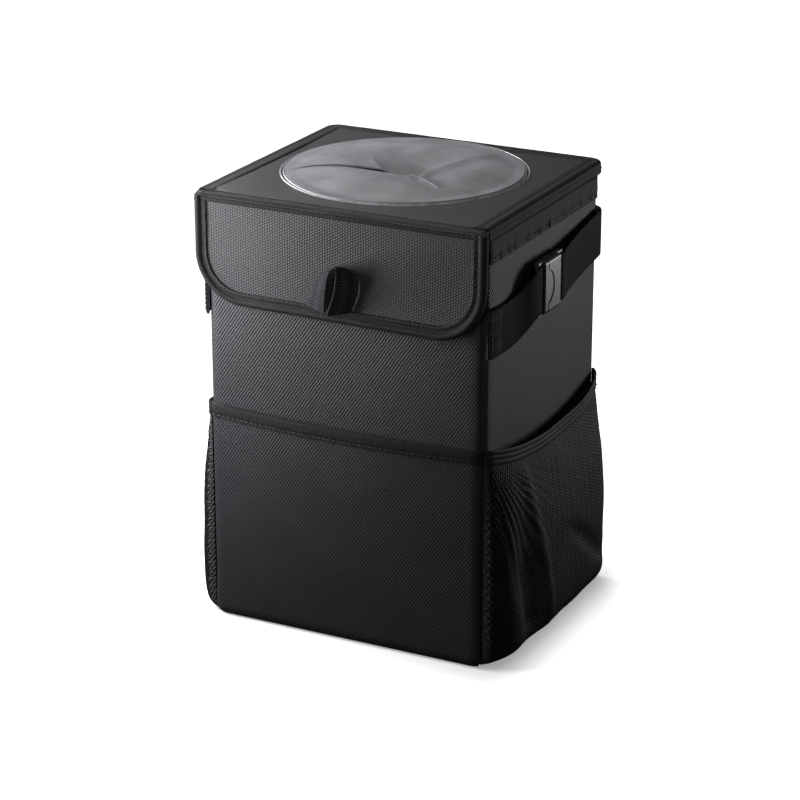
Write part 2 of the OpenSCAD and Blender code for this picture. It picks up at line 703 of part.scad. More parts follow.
// One leaf between two slits; depth gives how far it sinks at an angle
module leaf(a0, a1, depth) {
    steps = 12;
    rings = 8;
    grid = function (up)
        [for (j = [0:rings], i = [0:steps])
            let (q = 0.02 + 0.98 * j / rings, a = a0 + (a1 - a0) * i / steps,
                 b = a + slit_bend(a, q), d = q * rim_reach(b),
                 side = i == 0 ? 1 : i == steps ? -1 : 0)
            [ring_x + leaf_x + d * cos(b) - side * leaf_slit * sin(b),
             ring_y + leaf_y + d * sin(b) + side * leaf_slit * cos(b),
             leaf_z + up + leaf_height(a, q, depth(a))]];
    color(leaf_colour) sheet(grid(0), grid(leaf_t), steps + 1);
}
slit_front = -40;
slit_back = 72;
slit_left = 180;
module front_leaf() {
    leaf(slit_left, slit_front + 360, function (a) 0.6);
}
module right_leaf() {
    leaf(slit_front, slit_back, function (a) 0.6 + 1.2 * ease((a - 40) / 32));
}
module back_leaf() {
    leaf(slit_back, slit_left, function (a) 4 + (leaf_sink - 4) * (1 - ease((a - 118) / 40)));
}

// Flap

flap_x = flap_w / 2;
// Point of the flap at a place across, a height and a distance off its inner face
function flap_point(x, z, off) =
    let (down = (flap_top - z) / flap_drop, side = (x / flap_x + 1) / 2)
    [x, -(flap_y + off + flap_flare * pow(max(0, side), 1.5) * down * down), z];
// Columns of a flap layer, as [x, lowest z], for an outline drawn in by an inset
function flap_columns(inset) =
    let (x = flap_x - inset, r = flap_r - inset, z = flap_low + inset)
    concat(
        [for (i = [0:3]) let (a = 90 - 22.5 * i) [r - x - r * sin(a), z + r - r * cos(a)]],
        [for (i = [0:6]) [(r - x) + 2 * (x - r) * i / 6, z]],
        [for (i = [1:4]) let (a = 22.5 * i) [x - r + r * sin(a), z + r - r * cos(a)]]);
module flap_layer(inset, off, t) {
    columns = flap_columns(inset);
    rows = 6;
    grid = function (o)
        [for (j = [0:rows], c = columns) flap_point(c[0], c[1] + (flap_top - c[1]) * j / rows, o)];
    sheet(grid(off + t), grid(off), len(columns));
}
module flap_panel() {
    color(shell_colour) flap_layer(tape_t + lay, flap_stack - fabric_t, fabric_t);
}
module flap_board() {
    color(board_colour) flap_layer(tape_t + 3 * lay, liner_t + lay, flap_board_t);
}
module flap_lining() {
    color(liner_colour) flap_layer(tape_t + lay, 0, liner_t);
}
// Tape folded over the flap's edge, from the top of its left side round to the top of its right side
module flap_binding() {
    out = flap_stack + lay;
    profile = [[0, -lay - tape_t], [flap_tape_w, -lay - tape_t], [flap_tape_w, -lay], [tape_t, -lay],
               [tape_t, out], [flap_tape_w, out], [flap_tape_w, out + tape_t], [0, out + tape_t]];
    x = flap_x - flap_r;
    z = flap_low + flap_r;
    edge = concat(
        [for (i = [0:3]) [[-flap_x, flap_top + (z - flap_top) * i / 4], [1, 0]]],
        [for (i = [0:8]) let (a = 90 * i / 8, n = [-cos(a), -sin(a)]) [[-x, z] + flap_r * n, -n]],
        [for (i = [1:7]) [[-x + 2 * x * i / 8, flap_low], [0, 1]]],
        [for (i = [0:8]) let (a = 90 * i / 8, n = [sin(a), -cos(a)]) [[x, z] + flap_r * n, -n]],
        [for (i = [1:4]) [[flap_x, z + (flap_top - z) * i / 4], [-1, 0]]]);
    color(tape_colour) tube([for (e = edge)
        [for (p = profile) let (q = e[0] + p[0] * e[1]) flap_point(q[0], q[1], p[1])]]);
}
module flap_hook_patch() {
    grid = function (off)
        [for (z = [patch_z - patch_h / 2, patch_z, patch_z + patch_h / 2], i = [-2:2])
            flap_point(i * patch_w / 4, z, off)];
    color(tape_colour) sheet(grid(-lay), grid(-lay - patch_t), 5);
}
// Loop of webbing that stands on the flap, its two ends sewn side by side above the binding
module tab_outline(inset) {
    r = tab_w / 2 - inset;
    top = tab_h - inset;
    intersection() {
        for (s = [-1, 1]) translate([0, top - 1.15 * r]) circle(1.15 * r, $fn = 64);
        translate([-r, 0]) square([2 * r, top]);
    }
    polygon([[-r * 0.86, 0], [r * 0.72, 0], [r * 0.98, top - 1.4 * r], [-r * 0.98, top - 1.4 * r]]);
}
module pull_tab() {
    low = flap_low + flap_tape_w + tab_gap;
    foot_y = flap_point(tab_x + tab_w / 2, low, flap_stack + 2 * lay)[1];
    top_y = flap_point(tab_x + tab_w / 2, low + tab_h, flap_stack + 2 * lay)[1];
    tilt = atan((top_y - foot_y) / tab_h);
    color(web_colour) translate([tab_x, foot_y, low]) rotate([90 - tilt, 0, 0])
        linear_extrude(tab_proud) difference() {
            tab_outline(0);
            translate([0, -tab_t]) tab_outline(tab_t);
            translate([-tab_w, -2 * tab_t]) square([2 * tab_w, 2 * tab_t]);
        }
}

wall_panel(front);  // front_panel
wall_panel(back);  // back_panel
wall_panel(left);  // left_panel
wall_panel(right);  // right_panel
base_panel();
wall_board(front);  // front_board
wall_board(back);  // back_board
wall_board(left);  // left_board
wall_board(right);  // right_board
base_board();
liner();
rim_binding();
front_pocket();
front_pocket_binding();
mesh_pocket(left);  // left_mesh_pocket
mesh_pocket(right);  // right_mesh_pocket
mesh_elastic(left);  // left_mesh_elastic
mesh_elastic(right);  // right_mesh_elastic
strap_tab(-1);  // left_strap_tab
strap_tab(1);  // right_strap_tab
short_strap();
long_strap();
buckle_plug();
buckle_socket();
flap_loop_patch();
lid_hinge_tape();
lid_cover();
lid_board();
lid_lining();
lid_binding();
opening_ring();
front_leaf();
right_leaf();
back_leaf();
flap_panel();
flap_board();
flap_lining();
flap_binding();
flap_hook_patch();
pull_tab();
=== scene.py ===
import json
from math import atan2, copysign, cos, exp, pi, radians, sin, sqrt

import bmesh
import bpy
from mathutils import Matrix, Vector, noise


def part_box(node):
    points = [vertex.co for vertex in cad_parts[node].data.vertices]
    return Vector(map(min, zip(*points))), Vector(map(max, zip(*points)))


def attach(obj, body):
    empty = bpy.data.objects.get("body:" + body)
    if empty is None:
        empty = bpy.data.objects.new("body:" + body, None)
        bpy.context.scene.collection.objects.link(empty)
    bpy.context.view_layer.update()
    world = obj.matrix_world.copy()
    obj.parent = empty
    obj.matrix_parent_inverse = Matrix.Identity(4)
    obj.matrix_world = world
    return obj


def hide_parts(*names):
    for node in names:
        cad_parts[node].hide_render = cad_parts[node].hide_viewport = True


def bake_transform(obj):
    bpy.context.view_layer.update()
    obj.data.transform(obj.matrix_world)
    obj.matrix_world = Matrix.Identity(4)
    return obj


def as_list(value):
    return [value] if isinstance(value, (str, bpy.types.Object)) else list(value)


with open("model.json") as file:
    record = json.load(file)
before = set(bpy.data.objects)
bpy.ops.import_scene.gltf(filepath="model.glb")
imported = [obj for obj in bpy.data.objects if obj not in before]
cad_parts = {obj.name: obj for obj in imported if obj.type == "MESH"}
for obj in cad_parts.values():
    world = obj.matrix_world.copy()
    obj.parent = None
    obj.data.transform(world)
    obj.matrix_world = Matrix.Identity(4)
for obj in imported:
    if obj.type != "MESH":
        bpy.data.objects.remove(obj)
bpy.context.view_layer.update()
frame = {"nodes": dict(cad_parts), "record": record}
mm = 0.001  # every size below is in millimetres, and pieces are turned to metres as they are built


def boxOf(node):
    # Lowest and highest corner of a CAD node, in mm
    return [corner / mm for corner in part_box(node)]


# Camera, floor and light

shot = {
    "azimuth": 26.87,  # degrees to the right of the front
    "elevation": 20.41,
    "distance": 1879,
    "lens": 126,
    "sideways": -3.47,  # of the point looked at, from the bag's upright middle line
    "height": 140.81,
}


def placeInScene(name, data, place, away):
    # Adds a camera or a lamp that looks back along away
    added = bpy.data.objects.new(name, data)
    added.location = place * mm
    added.rotation_euler = away.to_track_quat("Z", "Y").to_euler()
    bpy.context.scene.collection.objects.link(added)
    return added


def addCamera():
    azimuth, elevation = radians(shot["azimuth"]), radians(shot["elevation"])
    away = Vector((sin(azimuth) * cos(elevation), -cos(azimuth) * cos(elevation), sin(elevation)))
    target = Vector((cos(azimuth) * shot["sideways"], sin(azimuth) * shot["sideways"], shot["height"]))
    data = bpy.data.cameras.new("camera")
    data.lens = shot["lens"]
    data.sensor_width = 36
    data.clip_start, data.clip_end = 0.05, 30
    bpy.context.scene.camera = placeInScene("camera", data, target + away * shot["distance"], away)
    bpy.context.scene.view_settings.view_transform = "Standard"


lamps = [  # place and aim in mm, size in mm, strength in watts
    {"name": "keySoftbox", "place": (-215, -188, 255), "aim": (-40, -90, 180), "size": 200, "watts": 1.5},
    {"name": "topLeftSoftbox", "place": (-430, 120, 500), "aim": (-20, 10, 298), "size": 260, "watts": 3.2},
    {"name": "lowRightSoftbox", "place": (520, 640, 150), "aim": (100, 20, 200), "size": 220, "watts": 1.4},
    {"name": "frontCard", "place": (130, -330, 330), "aim": (0, -100, 250), "size": 80, "watts": 0.12},
    {"name": "floorSoftbox", "place": (-700, 600, 1500), "aim": (0, 0, 0), "size": 900, "watts": 8},
]


def addLamps():
    for lamp in lamps:
        data = bpy.data.lights.new(lamp["name"], "AREA")
        data.shape = "SQUARE"
        data.size = lamp["size"] * mm
        data.energy = lamp["watts"]
        place = Vector(lamp["place"])
        light = placeInScene(lamp["name"], data, place, place - Vector(lamp["aim"]))
        light.visible_camera = False


# Materials: colours are sRGB hex values, and cloth patterns read the UV map "cloth", which is in millimetres

def hexToLinear(code):
    parts = [int(code[i:i + 2], 16) / 255 for i in (1, 3, 5)]
    return [c / 12.92 if c <= 0.04045 else ((c + 0.055) / 1.055) ** 2.4 for c in parts] + [1]


def addNode(tree, kind, settings=None, inputs=None):
    # An input takes a value, a socket, or a node, which then gives its first output
    node = tree.nodes.new("ShaderNode" + kind)
    for key, value in (settings or {}).items():
        setattr(node, key, value)
    for key, value in (inputs or {}).items():
        if isinstance(value, bpy.types.Node):
            value = value.outputs[0]
        if isinstance(value, bpy.types.NodeSocket):
            tree.links.new(value, node.inputs[key])
        else:
            node.inputs[key].default_value = value
    return node


def newMaterial(name, colour, roughness, **sockets):
    material = bpy.data.materials.new(name)
    material.use_nodes = True
    shader = material.node_tree.nodes["Principled BSDF"]
    shader.inputs["Base Color"].default_value = hexToLinear(colour)
    shader.inputs["Roughness"].default_value = roughness
    for key, value in sockets.items():
        shader.inputs[key.replace("_", " ")].default_value = value
    return material, material.node_tree, shader


def clothAxes(tree):
    # The two directions of the cloth, in mm, slightly wandering as threads do
    place = addNode(tree, "UVMap", {"uv_map": "cloth"})
    wander = addNode(tree, "TexNoise", None, {"Vector": place, "Scale": 0.08, "Detail": 1.0})
    shift = addNode(tree, "VectorMath", {"operation": "SCALE"}, {0: wander.outputs["Color"], "Scale": 0.9})
    moved = addNode(tree, "VectorMath", {"operation": "ADD"}, {0: place, 1: shift})
    return place, *addNode(tree, "SeparateXYZ", None, {0: moved}).outputs[:2]


def ripple(tree, along, pitch, across=None, slope=0.0):
    # Sine of a distance, one full wave for each pitch, slanted by a share of the other direction
    if across is not None:
        along = addNode(tree, "Math", {"operation": "MULTIPLY_ADD"}, {0: across, 1: slope, 2: along})
    turned = addNode(tree, "Math", {"operation": "MULTIPLY"}, {0: along, 1: 2 * pi / pitch})
    return addNode(tree, "Math", {"operation": "SINE"}, {0: turned})


def clouded(tree, place, threads, scale, detail, amount):
    # Slow noise on top of the threads, so that no two places of the cloth are the same
    cloud = addNode(tree, "TexNoise", None, {"Vector": place, "Scale": scale, "Detail": detail})
    return addNode(tree, "Math", {"operation": "MULTIPLY_ADD"}, {0: cloud, 1: amount, 2: threads})


def toColour(tree, shader, factor, dark, light, low=-1.0, high=1.0):
    # Drives the base colour from a factor between low and high; light is a hex value or a socket
    lit = hexToLinear(light) if isinstance(light, str) else light
    spread = addNode(tree, "MapRange", None, {"Value": factor, "From Min": low, "From Max": high})
    mixed = addNode(tree, "Mix", {"data_type": "RGBA"}, {0: spread, 6: hexToLinear(dark), 7: lit})
    tree.links.new(mixed.outputs[2], shader.inputs["Base Color"])


def toBump(tree, shader, height, distance, strength=1.0):
    bump = addNode(tree, "Bump", None, {"Height": height, "Distance": distance * mm, "Strength": strength})
    tree.links.new(bump.outputs[0], shader.inputs["Normal"])


def coatedOxford():
    # Polyester oxford with a soft coating: a fine slanting grain with a satin shine.
    # The real threads are 0.5 mm apart, drawn about 2.3 mm apart so that they show.
    material, tree, shader = newMaterial("coatedOxford", "#2c2c2f", 0.5, Specular_IOR_Level=0.3)
    uv, x, y = clothAxes(tree)
    rising = ripple(tree, x, 2.2, y, -0.7)
    falling = ripple(tree, x, 2.4, y, 0.9)
    weave = addNode(tree, "Math", {"operation": "MULTIPLY_ADD"}, {0: falling, 1: 0.6, 2: rising})
    toColour(tree, shader, clouded(tree, uv, weave, 0.03, 3.0, 0.9), "#19191c", "#3d3d41", -1.2, 2.1)
    toBump(tree, shader, weave, 0.1)
    return material


def dobbyFlapCloth():
    # Coarser dobby weave of the flap: raised dots, staggered in upright columns 1.8 mm apart
    material, tree, shader = newMaterial("dobbyFlapCloth", "#38383b", 0.5, Specular_IOR_Level=0.35)
    uv, x, y = clothAxes(tree)
    rising = ripple(tree, x, 3.6, y, 1.9)
    falling = ripple(tree, x, 3.6, y, -1.9)
    columns = ripple(tree, x, 1.8)
    staggered = addNode(tree, "Math", {"operation": "ADD"}, {0: rising, 1: falling})
    dots = addNode(tree, "Math", {"operation": "MULTIPLY_ADD"}, {0: columns, 1: 0.7, 2: staggered})
    toColour(tree, shader, clouded(tree, uv, dots, 0.4, 2.0, 0.9), "#232326", "#3e3e42", -1.8, 2.7)
    toBump(tree, shader, dots, 0.055)
    return material


def bindingTape():
    # Woven binding tape: fine ribs across its length, with a slight shine
    material, tree, shader = newMaterial("bindingTape", "#1d1d1f", 0.65, Specular_IOR_Level=0.18)
    uv, x, _ = clothAxes(tree)
    worn = clouded(tree, uv, ripple(tree, x, 1.3), 0.35, 3.0, 3.0)
    toColour(tree, shader, worn, "#131315", "#26262a", -0.4, 3.4)
    toBump(tree, shader, worn, 0.05)
    return material


def webbing(name, dark, light, relief):
    # Polypropylene webbing: ribs across, lengthwise cords and a firm edge
    material, tree, shader = newMaterial(name, dark, 0.7, Specular_IOR_Level=0.08)
    _, x, y = clothAxes(tree)
    ribs, cords = ripple(tree, x, 1.8), ripple(tree, y, 3.2)
    woven = addNode(tree, "Math", {"operation": "MULTIPLY_ADD"}, {0: cords, 1: 0.5, 2: ribs})
    toColour(tree, shader, woven, dark, light, -1.2, 1.4)
    toBump(tree, shader, woven, relief)
    return material


def pocketMesh():
    # Knitted mesh: rows 2.1 mm apart with holes between them, drawn into chevrons by the gathers at both seams.
    # The real rows are about 1 mm apart, and are drawn coarser so that they show.
    material, tree, shader = newMaterial("pocketMesh", "#1c1c1e", 0.6, Specular_IOR_Level=0.25)
    uv, x, y = clothAxes(tree)
    fromSeam = addNode(tree, "Math", {"operation": "PINGPONG"}, {0: x, 1: meshUv["wide"] / 2})
    chevrons = ripple(tree, y, 4.2, fromSeam, 1.5)
    rows = ripple(tree, fromSeam, 2.1, y, -0.2)
    near = addNode(tree, "MapRange", {"interpolation_type": "SMOOTHSTEP"},
                   {"Value": fromSeam, "From Min": 5.0, "From Max": 7.5})
    knit = addNode(tree, "Mix", {"data_type": "FLOAT"}, {0: near, 2: chevrons, 3: rows})
    holes = ripple(tree, y, 2.6, x, 0.6)
    threads = addNode(tree, "Math", {"operation": "MULTIPLY_ADD"}, {0: holes, 1: 0.4, 2: knit})
    uneven = clouded(tree, uv, threads, 0.3, 3.0, 2.0)
    # Painted highlight: the thread beside the seams is drawn lighter, standing in for the light that the
    # chevron puckers there catch
    seamHighlightTone = addNode(tree, "Mix", {"data_type": "RGBA"},
                         {0: near, 6: hexToLinear("#4e4e52"), 7: hexToLinear("#242427")})
    toColour(tree, shader, uneven, "#060607", seamHighlightTone.outputs[2], -0.3, 2.3)
    toBump(tree, shader, uneven, 0.2)
    return material


def ribbedElastic():
    # Knitted elastic: fine upright ribs between the long cords of the band
    material, tree, shader = newMaterial("ribbedElastic", "#1d1d1f", 0.6, Specular_IOR_Level=0.25)
    ribs = ripple(tree, clothAxes(tree)[1], 1.1)
    toColour(tree, shader, ribs, "#19191b", "#2a2a2d")
    toBump(tree, shader, ribs, 0.05)
    return material


def unwoven(name, colour, roughness, dark, light, low, grain, relief, fine=None, strength=1.0, **sockets):
    # A finish without threads: noise drives its tone, with low and 1 - low as the ends, and its relief.
    # Grain is the noise's bumps for each metre and its detail, and fine the same for a relief that differs.
    material, tree, shader = newMaterial(name, colour, roughness, **sockets)
    place = addNode(tree, "TexCoord").outputs["Object"]
    cloud, bumps = (addNode(tree, "TexNoise", None, {"Vector": place, "Scale": scale, "Detail": detail})
                    for scale, detail in (grain, fine or grain))
    toColour(tree, shader, cloud, dark, light, low, 1 - low)
    toBump(tree, shader, bumps, relief, strength)
    return material


def paleFloor():
    # Matt white sweep: brightened for the camera, so that it runs into the white background
    material, tree, shader = newMaterial("paleFloor", "#f4f4f4", 0.9, Specular_IOR_Level=0.0)
    toCamera = addNode(tree, "LightPath").outputs["Is Camera Ray"]
    place = addNode(tree, "TexCoord").outputs["Object"]
    # Distance from the foot of the tub: the camera glow is weaker near it, which paints a shade round the foot
    # and lets the lamps' shadow show only close to it
    apart = addNode(tree, "VectorMath", {"operation": "ABSOLUTE"}, {0: place})
    past = addNode(tree, "VectorMath", {"operation": "SUBTRACT"},
                   {0: apart, 1: (tub["halfWide"] * mm, tub["halfDeep"] * mm, 0)})
    outside = addNode(tree, "VectorMath", {"operation": "MAXIMUM"}, {0: past, 1: (0, 0, 0)})
    distance = addNode(tree, "VectorMath", {"operation": "LENGTH"}, {0: outside}).outputs["Value"]
    footShadeGlow = addNode(tree, "MapRange", {"interpolation_type": "SMOOTHSTEP"},
                     {"Value": distance, "From Min": 0.004, "From Max": 0.044, "To Min": 0.3, "To Max": 1.0})
    seen = addNode(tree, "Math", {"operation": "MULTIPLY"}, {0: toCamera, 1: footShadeGlow})
    glow = addNode(tree, "Emission", None, {"Strength": seen})
    both = addNode(tree, "AddShader", None, {0: shader, 1: glow})
    tree.links.new(both.outputs[0], tree.nodes["Material Output"].inputs[0])
    # To the light that bounces off it the floor is grey, which keeps the black cloth dark
    tint = addNode(tree, "Mix", {"data_type": "RGBA"},
                   {0: toCamera, 6: hexToLinear("#4c4c4c"), 7: hexToLinear("#f4f4f4")})
    tree.links.new(tint.outputs[2], shader.inputs["Base Color"])
    return material


def addStage():
    bm = bmesh.new()
    bmesh.ops.create_grid(bm, x_segments=1, y_segments=1, size=4)
    floor = addPiece("floor", bm)
    floor.data.materials.append(paleFloor())
    world = bpy.data.worlds.new("studio")
    world.use_nodes = True
    tree = world.node_tree
    tree.nodes.clear()
    path = addNode(tree, "LightPath").outputs
    direct = addNode(tree, "Math", {"operation": "MAXIMUM"},
                     {0: path["Is Camera Ray"], 1: path["Is Transmission Ray"]})
    strength = addNode(tree, "MapRange", None, {"Value": direct, "To Min": 0.08, "To Max": 1.0})
    sky = addNode(tree, "Background", None, {"Color": (1, 1, 1, 1), "Strength": strength})
    addNode(tree, "OutputWorld", None, {0: sky})
    bpy.context.scene.world = world


# Building and finishing pieces

def addPiece(name, bm):
    mesh = bpy.data.meshes.new(name)
    bm.to_mesh(mesh)
    bm.free()
    piece = bpy.data.objects.new(name, mesh)
    bpy.context.scene.collection.objects.link(piece)
    return piece


def clothGrid(name, columns, rows, place, flat, flip=False, mend=None):
    # A grid whose points go where place(u, v) says, in mm, with flat(u, v) as its place on the flat cloth
    bm = bmesh.new()
    bmesh.ops.create_grid(bm, x_segments=columns, y_segments=rows, size=0.5, calc_uvs=True)
    uvLayer = bm.loops.layers.uv.verify()
    for face in bm.faces:
        for loop in face.loops:
            loop[uvLayer].uv = flat(loop.vert.co.x + 0.5, loop.vert.co.y + 0.5)
    for vert in bm.verts:
        vert.co = Vector(place(vert.co.x + 0.5, vert.co.y + 0.5)) * mm
    bmesh.ops.remove_doubles(bm, verts=bm.verts, dist=0.002 * mm)
    if flip:
        bmesh.ops.reverse_faces(bm, faces=bm.faces)
    if mend:
        mend(bm)
    piece = addPiece(name, bm)
    piece.data.uv_layers[0].name = "cloth"
    return piece


def finishPiece(piece, slot, body, replaced=(), wall=0, material=None, sharp=40, blended=None):
    # Gives a sheet its wall, inwards, smooths the shading, hangs the piece under its body or bakes its place
    # when blended, and hides the nodes it replaces
    if wall:
        piece.modifiers.new("wall", "SOLIDIFY").thickness = wall * mm
    bpy.context.view_layer.update()
    shown = piece.evaluated_get(bpy.context.evaluated_depsgraph_get())
    mesh = bpy.data.meshes.new_from_object(shown)
    piece.modifiers.clear()
    piece.data = mesh
    mesh.name = piece.name
    mesh.shade_smooth()
    mesh.set_sharp_from_angle(angle=radians(sharp))
    mesh.materials.clear()
    mesh.materials.append(material or finishes[slot])
    if blended:
        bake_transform(piece)
    else:
        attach(piece, body)
    if replaced:
        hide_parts(*replaced)


def ease(t):
    t = min(1, max(0, t))
    return t * t * (3 - 2 * t)


def wobble(point, size, seed=0.0):
    # Smooth unevenness between -1 and 1, with bumps about size mm across
    return noise.noise(Vector((point[0] / size, point[1] / size, point[2] / size + seed)))


def band(distance, wide):
    # 1 in the middle of a band, falling away to both sides
    return exp(-(distance / wide) ** 2)


def runLengths(points):
    # Distance along a line, at each of its points
    lengths = [0.0]
    for a, b in zip(points, points[1:]):
        lengths.append(lengths[-1] + (b - a).length)
    return lengths


def smoothPath(points, steps):
    # Catmull-Rom curve through the points
    points = [Vector(p) for p in points]
    padded = [2 * points[0] - points[1]] + points + [2 * points[-1] - points[-2]]
    out = []
    for i in range(1, len(padded) - 2):
        a, b, c, d = padded[i - 1:i + 3]
        for k in range(steps):
            t = k / steps
            out.append(0.5 * (2 * b + (c - a) * t + (2 * a - 5 * b + 4 * c - d) * t * t
                              + (3 * b - a - 3 * c + d) * t ** 3))
    out.append(points[-1])
    return out


# Tub: one loft round the body, from under the base edge to the rim

rimLow, rimHigh = boxOf("rim_binding")
tapeStep = 0.9  # the rim's tape stands this far off the cloth
tub = {
    "halfWide": rimHigh.x - tapeStep,
    "halfDeep": rimHigh.y - tapeStep,
    "high": rimHigh.z,
    "rimZ": rimLow.z,
    "cornerR": 9.0,
    "baseR": 8.0,
    "bow": 1.6,
    "cloth": 1.0,
    "unevenness": 0.35,
    "seamDepth": 0.8,
    "seamWide": 1.6,
    "underRim": 1.2,  # from the shell's top to the tub's
    "baseCloth": 0.9,
    "slack": 0.5,  # of the liner
    "film": 0.8,
}
straightWide = 2 * (tub["halfWide"] - tub["cornerR"])
straightDeep = 2 * (tub["halfDeep"] - tub["cornerR"])
arcLong = tub["cornerR"] * pi / 2
footArc = tub["baseR"] * pi / 2
# Distances round the outline to the middles of the corners, from the back left corner by the left and front
frontLeftAt = arcLong + straightDeep
frontRightAt = frontLeftAt + arcLong + straightWide
backRightAt = frontRightAt + arcLong + straightDeep
wholeWay = backRightAt + arcLong + straightWide
sides = [  # where each side starts, its straight length and its direction of travel: left, front, right, back
    (0, straightDeep, (0, -1)),
    (frontLeftAt, straightWide, (1, 0)),
    (frontRightAt, straightDeep, (0, 1)),
    (backRightAt, straightWide, (-1, 0)),
]


def outline(way, off=0.0):
    # Point and outward normal on the body's plan, and the share -1 to 1 along the straight wall
    way = way % wholeWay
    start, straight, along = [side for side in sides if way >= side[0]][-1]
    normal = Vector((along[1], -along[0]))
    along = Vector(along)
    r = tub["cornerR"]
    reach = tub["halfWide"] if along.x == 0 else tub["halfDeep"]
    walked = way - start - arcLong / 2
    if walked < 0:
        angle, middle, share = walked / r, -straight / 2, -1.0
    elif walked > straight:
        angle, middle, share = (walked - straight) / r, straight / 2, 1.0
    else:
        angle, middle, share = 0.0, walked - straight / 2, 2 * walked / straight - 1
    turned = normal * cos(angle) + along * sin(angle)
    centre = normal * (reach - r) + along * middle
    return centre + turned * (r + max(off, 0.5 - r)), turned, share


def wallBow(share, z):
    if abs(share) >= 1 or z <= 0 or z >= tub["rimZ"]:
        return 0
    return tub["bow"] * (1 - share * share) * sin(pi * z / tub["rimZ"])


def seamDip(way):
    # The sewn seam at each upright corner pulls the cloth in along a narrow line
    gap = min(abs((way - side[0] + wholeWay / 2) % wholeWay - wholeWay / 2) for side in sides)
    return tub["seamDepth"] * band(gap, tub["seamWide"])


def skinAt(way, high, off):
    # What outline gives, and z, at a distance up the cloth from where it leaves the base edge, negative on the
    # way round that edge
    r, z = tub["baseR"], tub["baseR"] + high
    if high < 0:
        off, z = (r + off) * cos(high / r) - r, r + (r + off) * sin(high / r)
    return *outline(way, off), z


def shellPoint(way, high):
    point, normal, share, z = skinAt(way, high, 0)
    soft = ease(z / 60) * ease((tub["high"] - z) / 30)
    raised = wallBow(share, z) - seamDip(way) * ease(z / 12)
    raised += tub["unevenness"] * (1 + wobble((*point, z), 55)) * soft * (1 - share ** 4)
    return *(point + normal * raised), z


def roundMarks(count):
    # Steps round the tub, closer together at the seams
    marks = [wholeWay * i / count for i in range(count + 1)]
    for seam in [side[0] for side in sides] + [wholeWay]:
        marks += [seam + k * 0.7 for k in range(-6, 7)]
    return sorted(w for w in set(round(m, 3) for m in marks) if 0 <= w <= wholeWay)


def makeTubShell():
    marks = roundMarks(190)
    last = len(marks) - 1

    def high(v):
        return -footArc + (tub["high"] - tub["underRim"] - tub["baseR"] + footArc) * v

    shell = clothGrid("tubShell", last, 74, lambda u, v: shellPoint(marks[round(u * last)], high(v)),
                      lambda u, v: (-abs(marks[round(u * last)] - frontRightAt), high(v)))
    finishPiece(shell, "shell_fabric", "tub", ["front_panel", "right_panel", "back_panel", "left_panel"],
                tub["cloth"])


def makeTubBase():
    low, far = boxOf("base_panel")
    wide, deep = far.x - low.x, far.y - low.y
    base = clothGrid("tubBase", 30, 26, lambda u, v: (low.x + wide * u, low.y + deep * v, 0.05),
                     lambda u, v: (wide * u, deep * v), flip=True)
    finishPiece(base, "shell_fabric", "tub", ["base_panel"], tub["baseCloth"])


def makeLiner():
    low, high = boxOf("liner")
    off, tall = high.x - tub["halfWide"], high.z - low.z

    def place(u, v):
        z = low.z + tall * v
        point, normal, share = outline(u * wholeWay, off)
        slack = tub["slack"] * (1 + wobble((*point, z * 0.6), 26, 4.0)) * (1 - share ** 4)
        slack *= ease((z - low.z) / 25) * ease((high.z - z) / 40)
        return *(point - normal * slack), z

    def closeFoot(bm):
        foot = [e for e in bm.edges if e.is_boundary and max(v.co.z for v in e.verts) < low.z * mm + 1e-5]
        bmesh.ops.contextual_create(bm, geom=foot)

    liner = clothGrid("tubLiner", 220, 60, place, lambda u, v: (u * wholeWay, v * tall), mend=closeFoot)
    finishPiece(liner, "liner_film", "tub", ["liner"], tub["film"])


# Rim: tape folded over the top edge, puckered by its stitches

rim = {
    "tape": 0.8, "innerLeg": 9.6, "out": tapeStep, "in": -4.5, "roll": 1.3, "wave": 0.5,
    "pucker": 0.5, "sideFuller": 0.9, "puff": 0.25, "stitchUp": 2.6, "stitchWide": 1.3, "stitchDeep": 0.55,
}
rimOuter = tub["high"] - tub["rimZ"] - rim["roll"]
rimOver = rim["out"] - rim["in"]
rimTape = rimOuter + rimOver + rim["innerLeg"] - rim["roll"]


def rimProfile(v):
    # Offset and height along the folded tape, from the outer lower edge over the top to the inner lower edge
    d = v * rimTape
    if d < rimOuter:
        return rim["out"], tub["rimZ"] + d
    turnZ = tub["high"] - rim["roll"]
    if d < rimOuter + rimOver:
        t = (d - rimOuter) / rimOver
        return rim["out"] - rimOver * t, turnZ + rim["roll"] * sin(pi * t) ** 0.6
    return rim["in"], turnZ - (d - rimOuter - rimOver)


def rimPoint(way, v):
    off, z = rimProfile(v)
    point, normal, _ = outline(way, off)
    up = z - tub["rimZ"]
    leg = ease(1 - v * 2.2)  # fades out before the tape turns over the top
    stitched = rim["stitchDeep"] * band(up - rim["stitchUp"], rim["stitchWide"])
    fold = wobble((*point, z * 0.12), 2.3, 1.0) + 0.6 * wobble((*point, z * 0.1), 5.0, 9.0)
    # Fuller on the left and right, where no flap lies over it
    full = rim["pucker"] * (1 + rim["sideFuller"] * abs(normal.x)) * (0.5 + fold) * ease(up / 3 + 0.4)
    point = point + normal * (full - stitched + rim["puff"]) * leg
    return Vector((*point, z + rim["wave"] * wobble((*point, 0), 40) * ease(up / 8)))


def makeRimBinding():
    piece = clothGrid("rimBinding", 760, 26, lambda u, v: rimPoint(u * wholeWay, v),
                      lambda u, v: (u * wholeWay, v * rimTape))
    finishPiece(piece, "binding_tape", "tub", ["rim_binding"], rim["tape"])


# Front pocket and its binding

pocket = {
    "high": 152.5, "belly": 6.0, "gap": 0.3, "cloth": 1.0, "foot": 0.56, "inset": 0.6,
    "tapeWide": 9.0, "tapeOver": 2.6, "tape": 0.8, "tapePuff": 0.35, "pucker": 0.22,
    "stitchUp": 1.8, "stitchWide": 0.8, "stitchDeep": 0.3, "wave": 0.5,
}


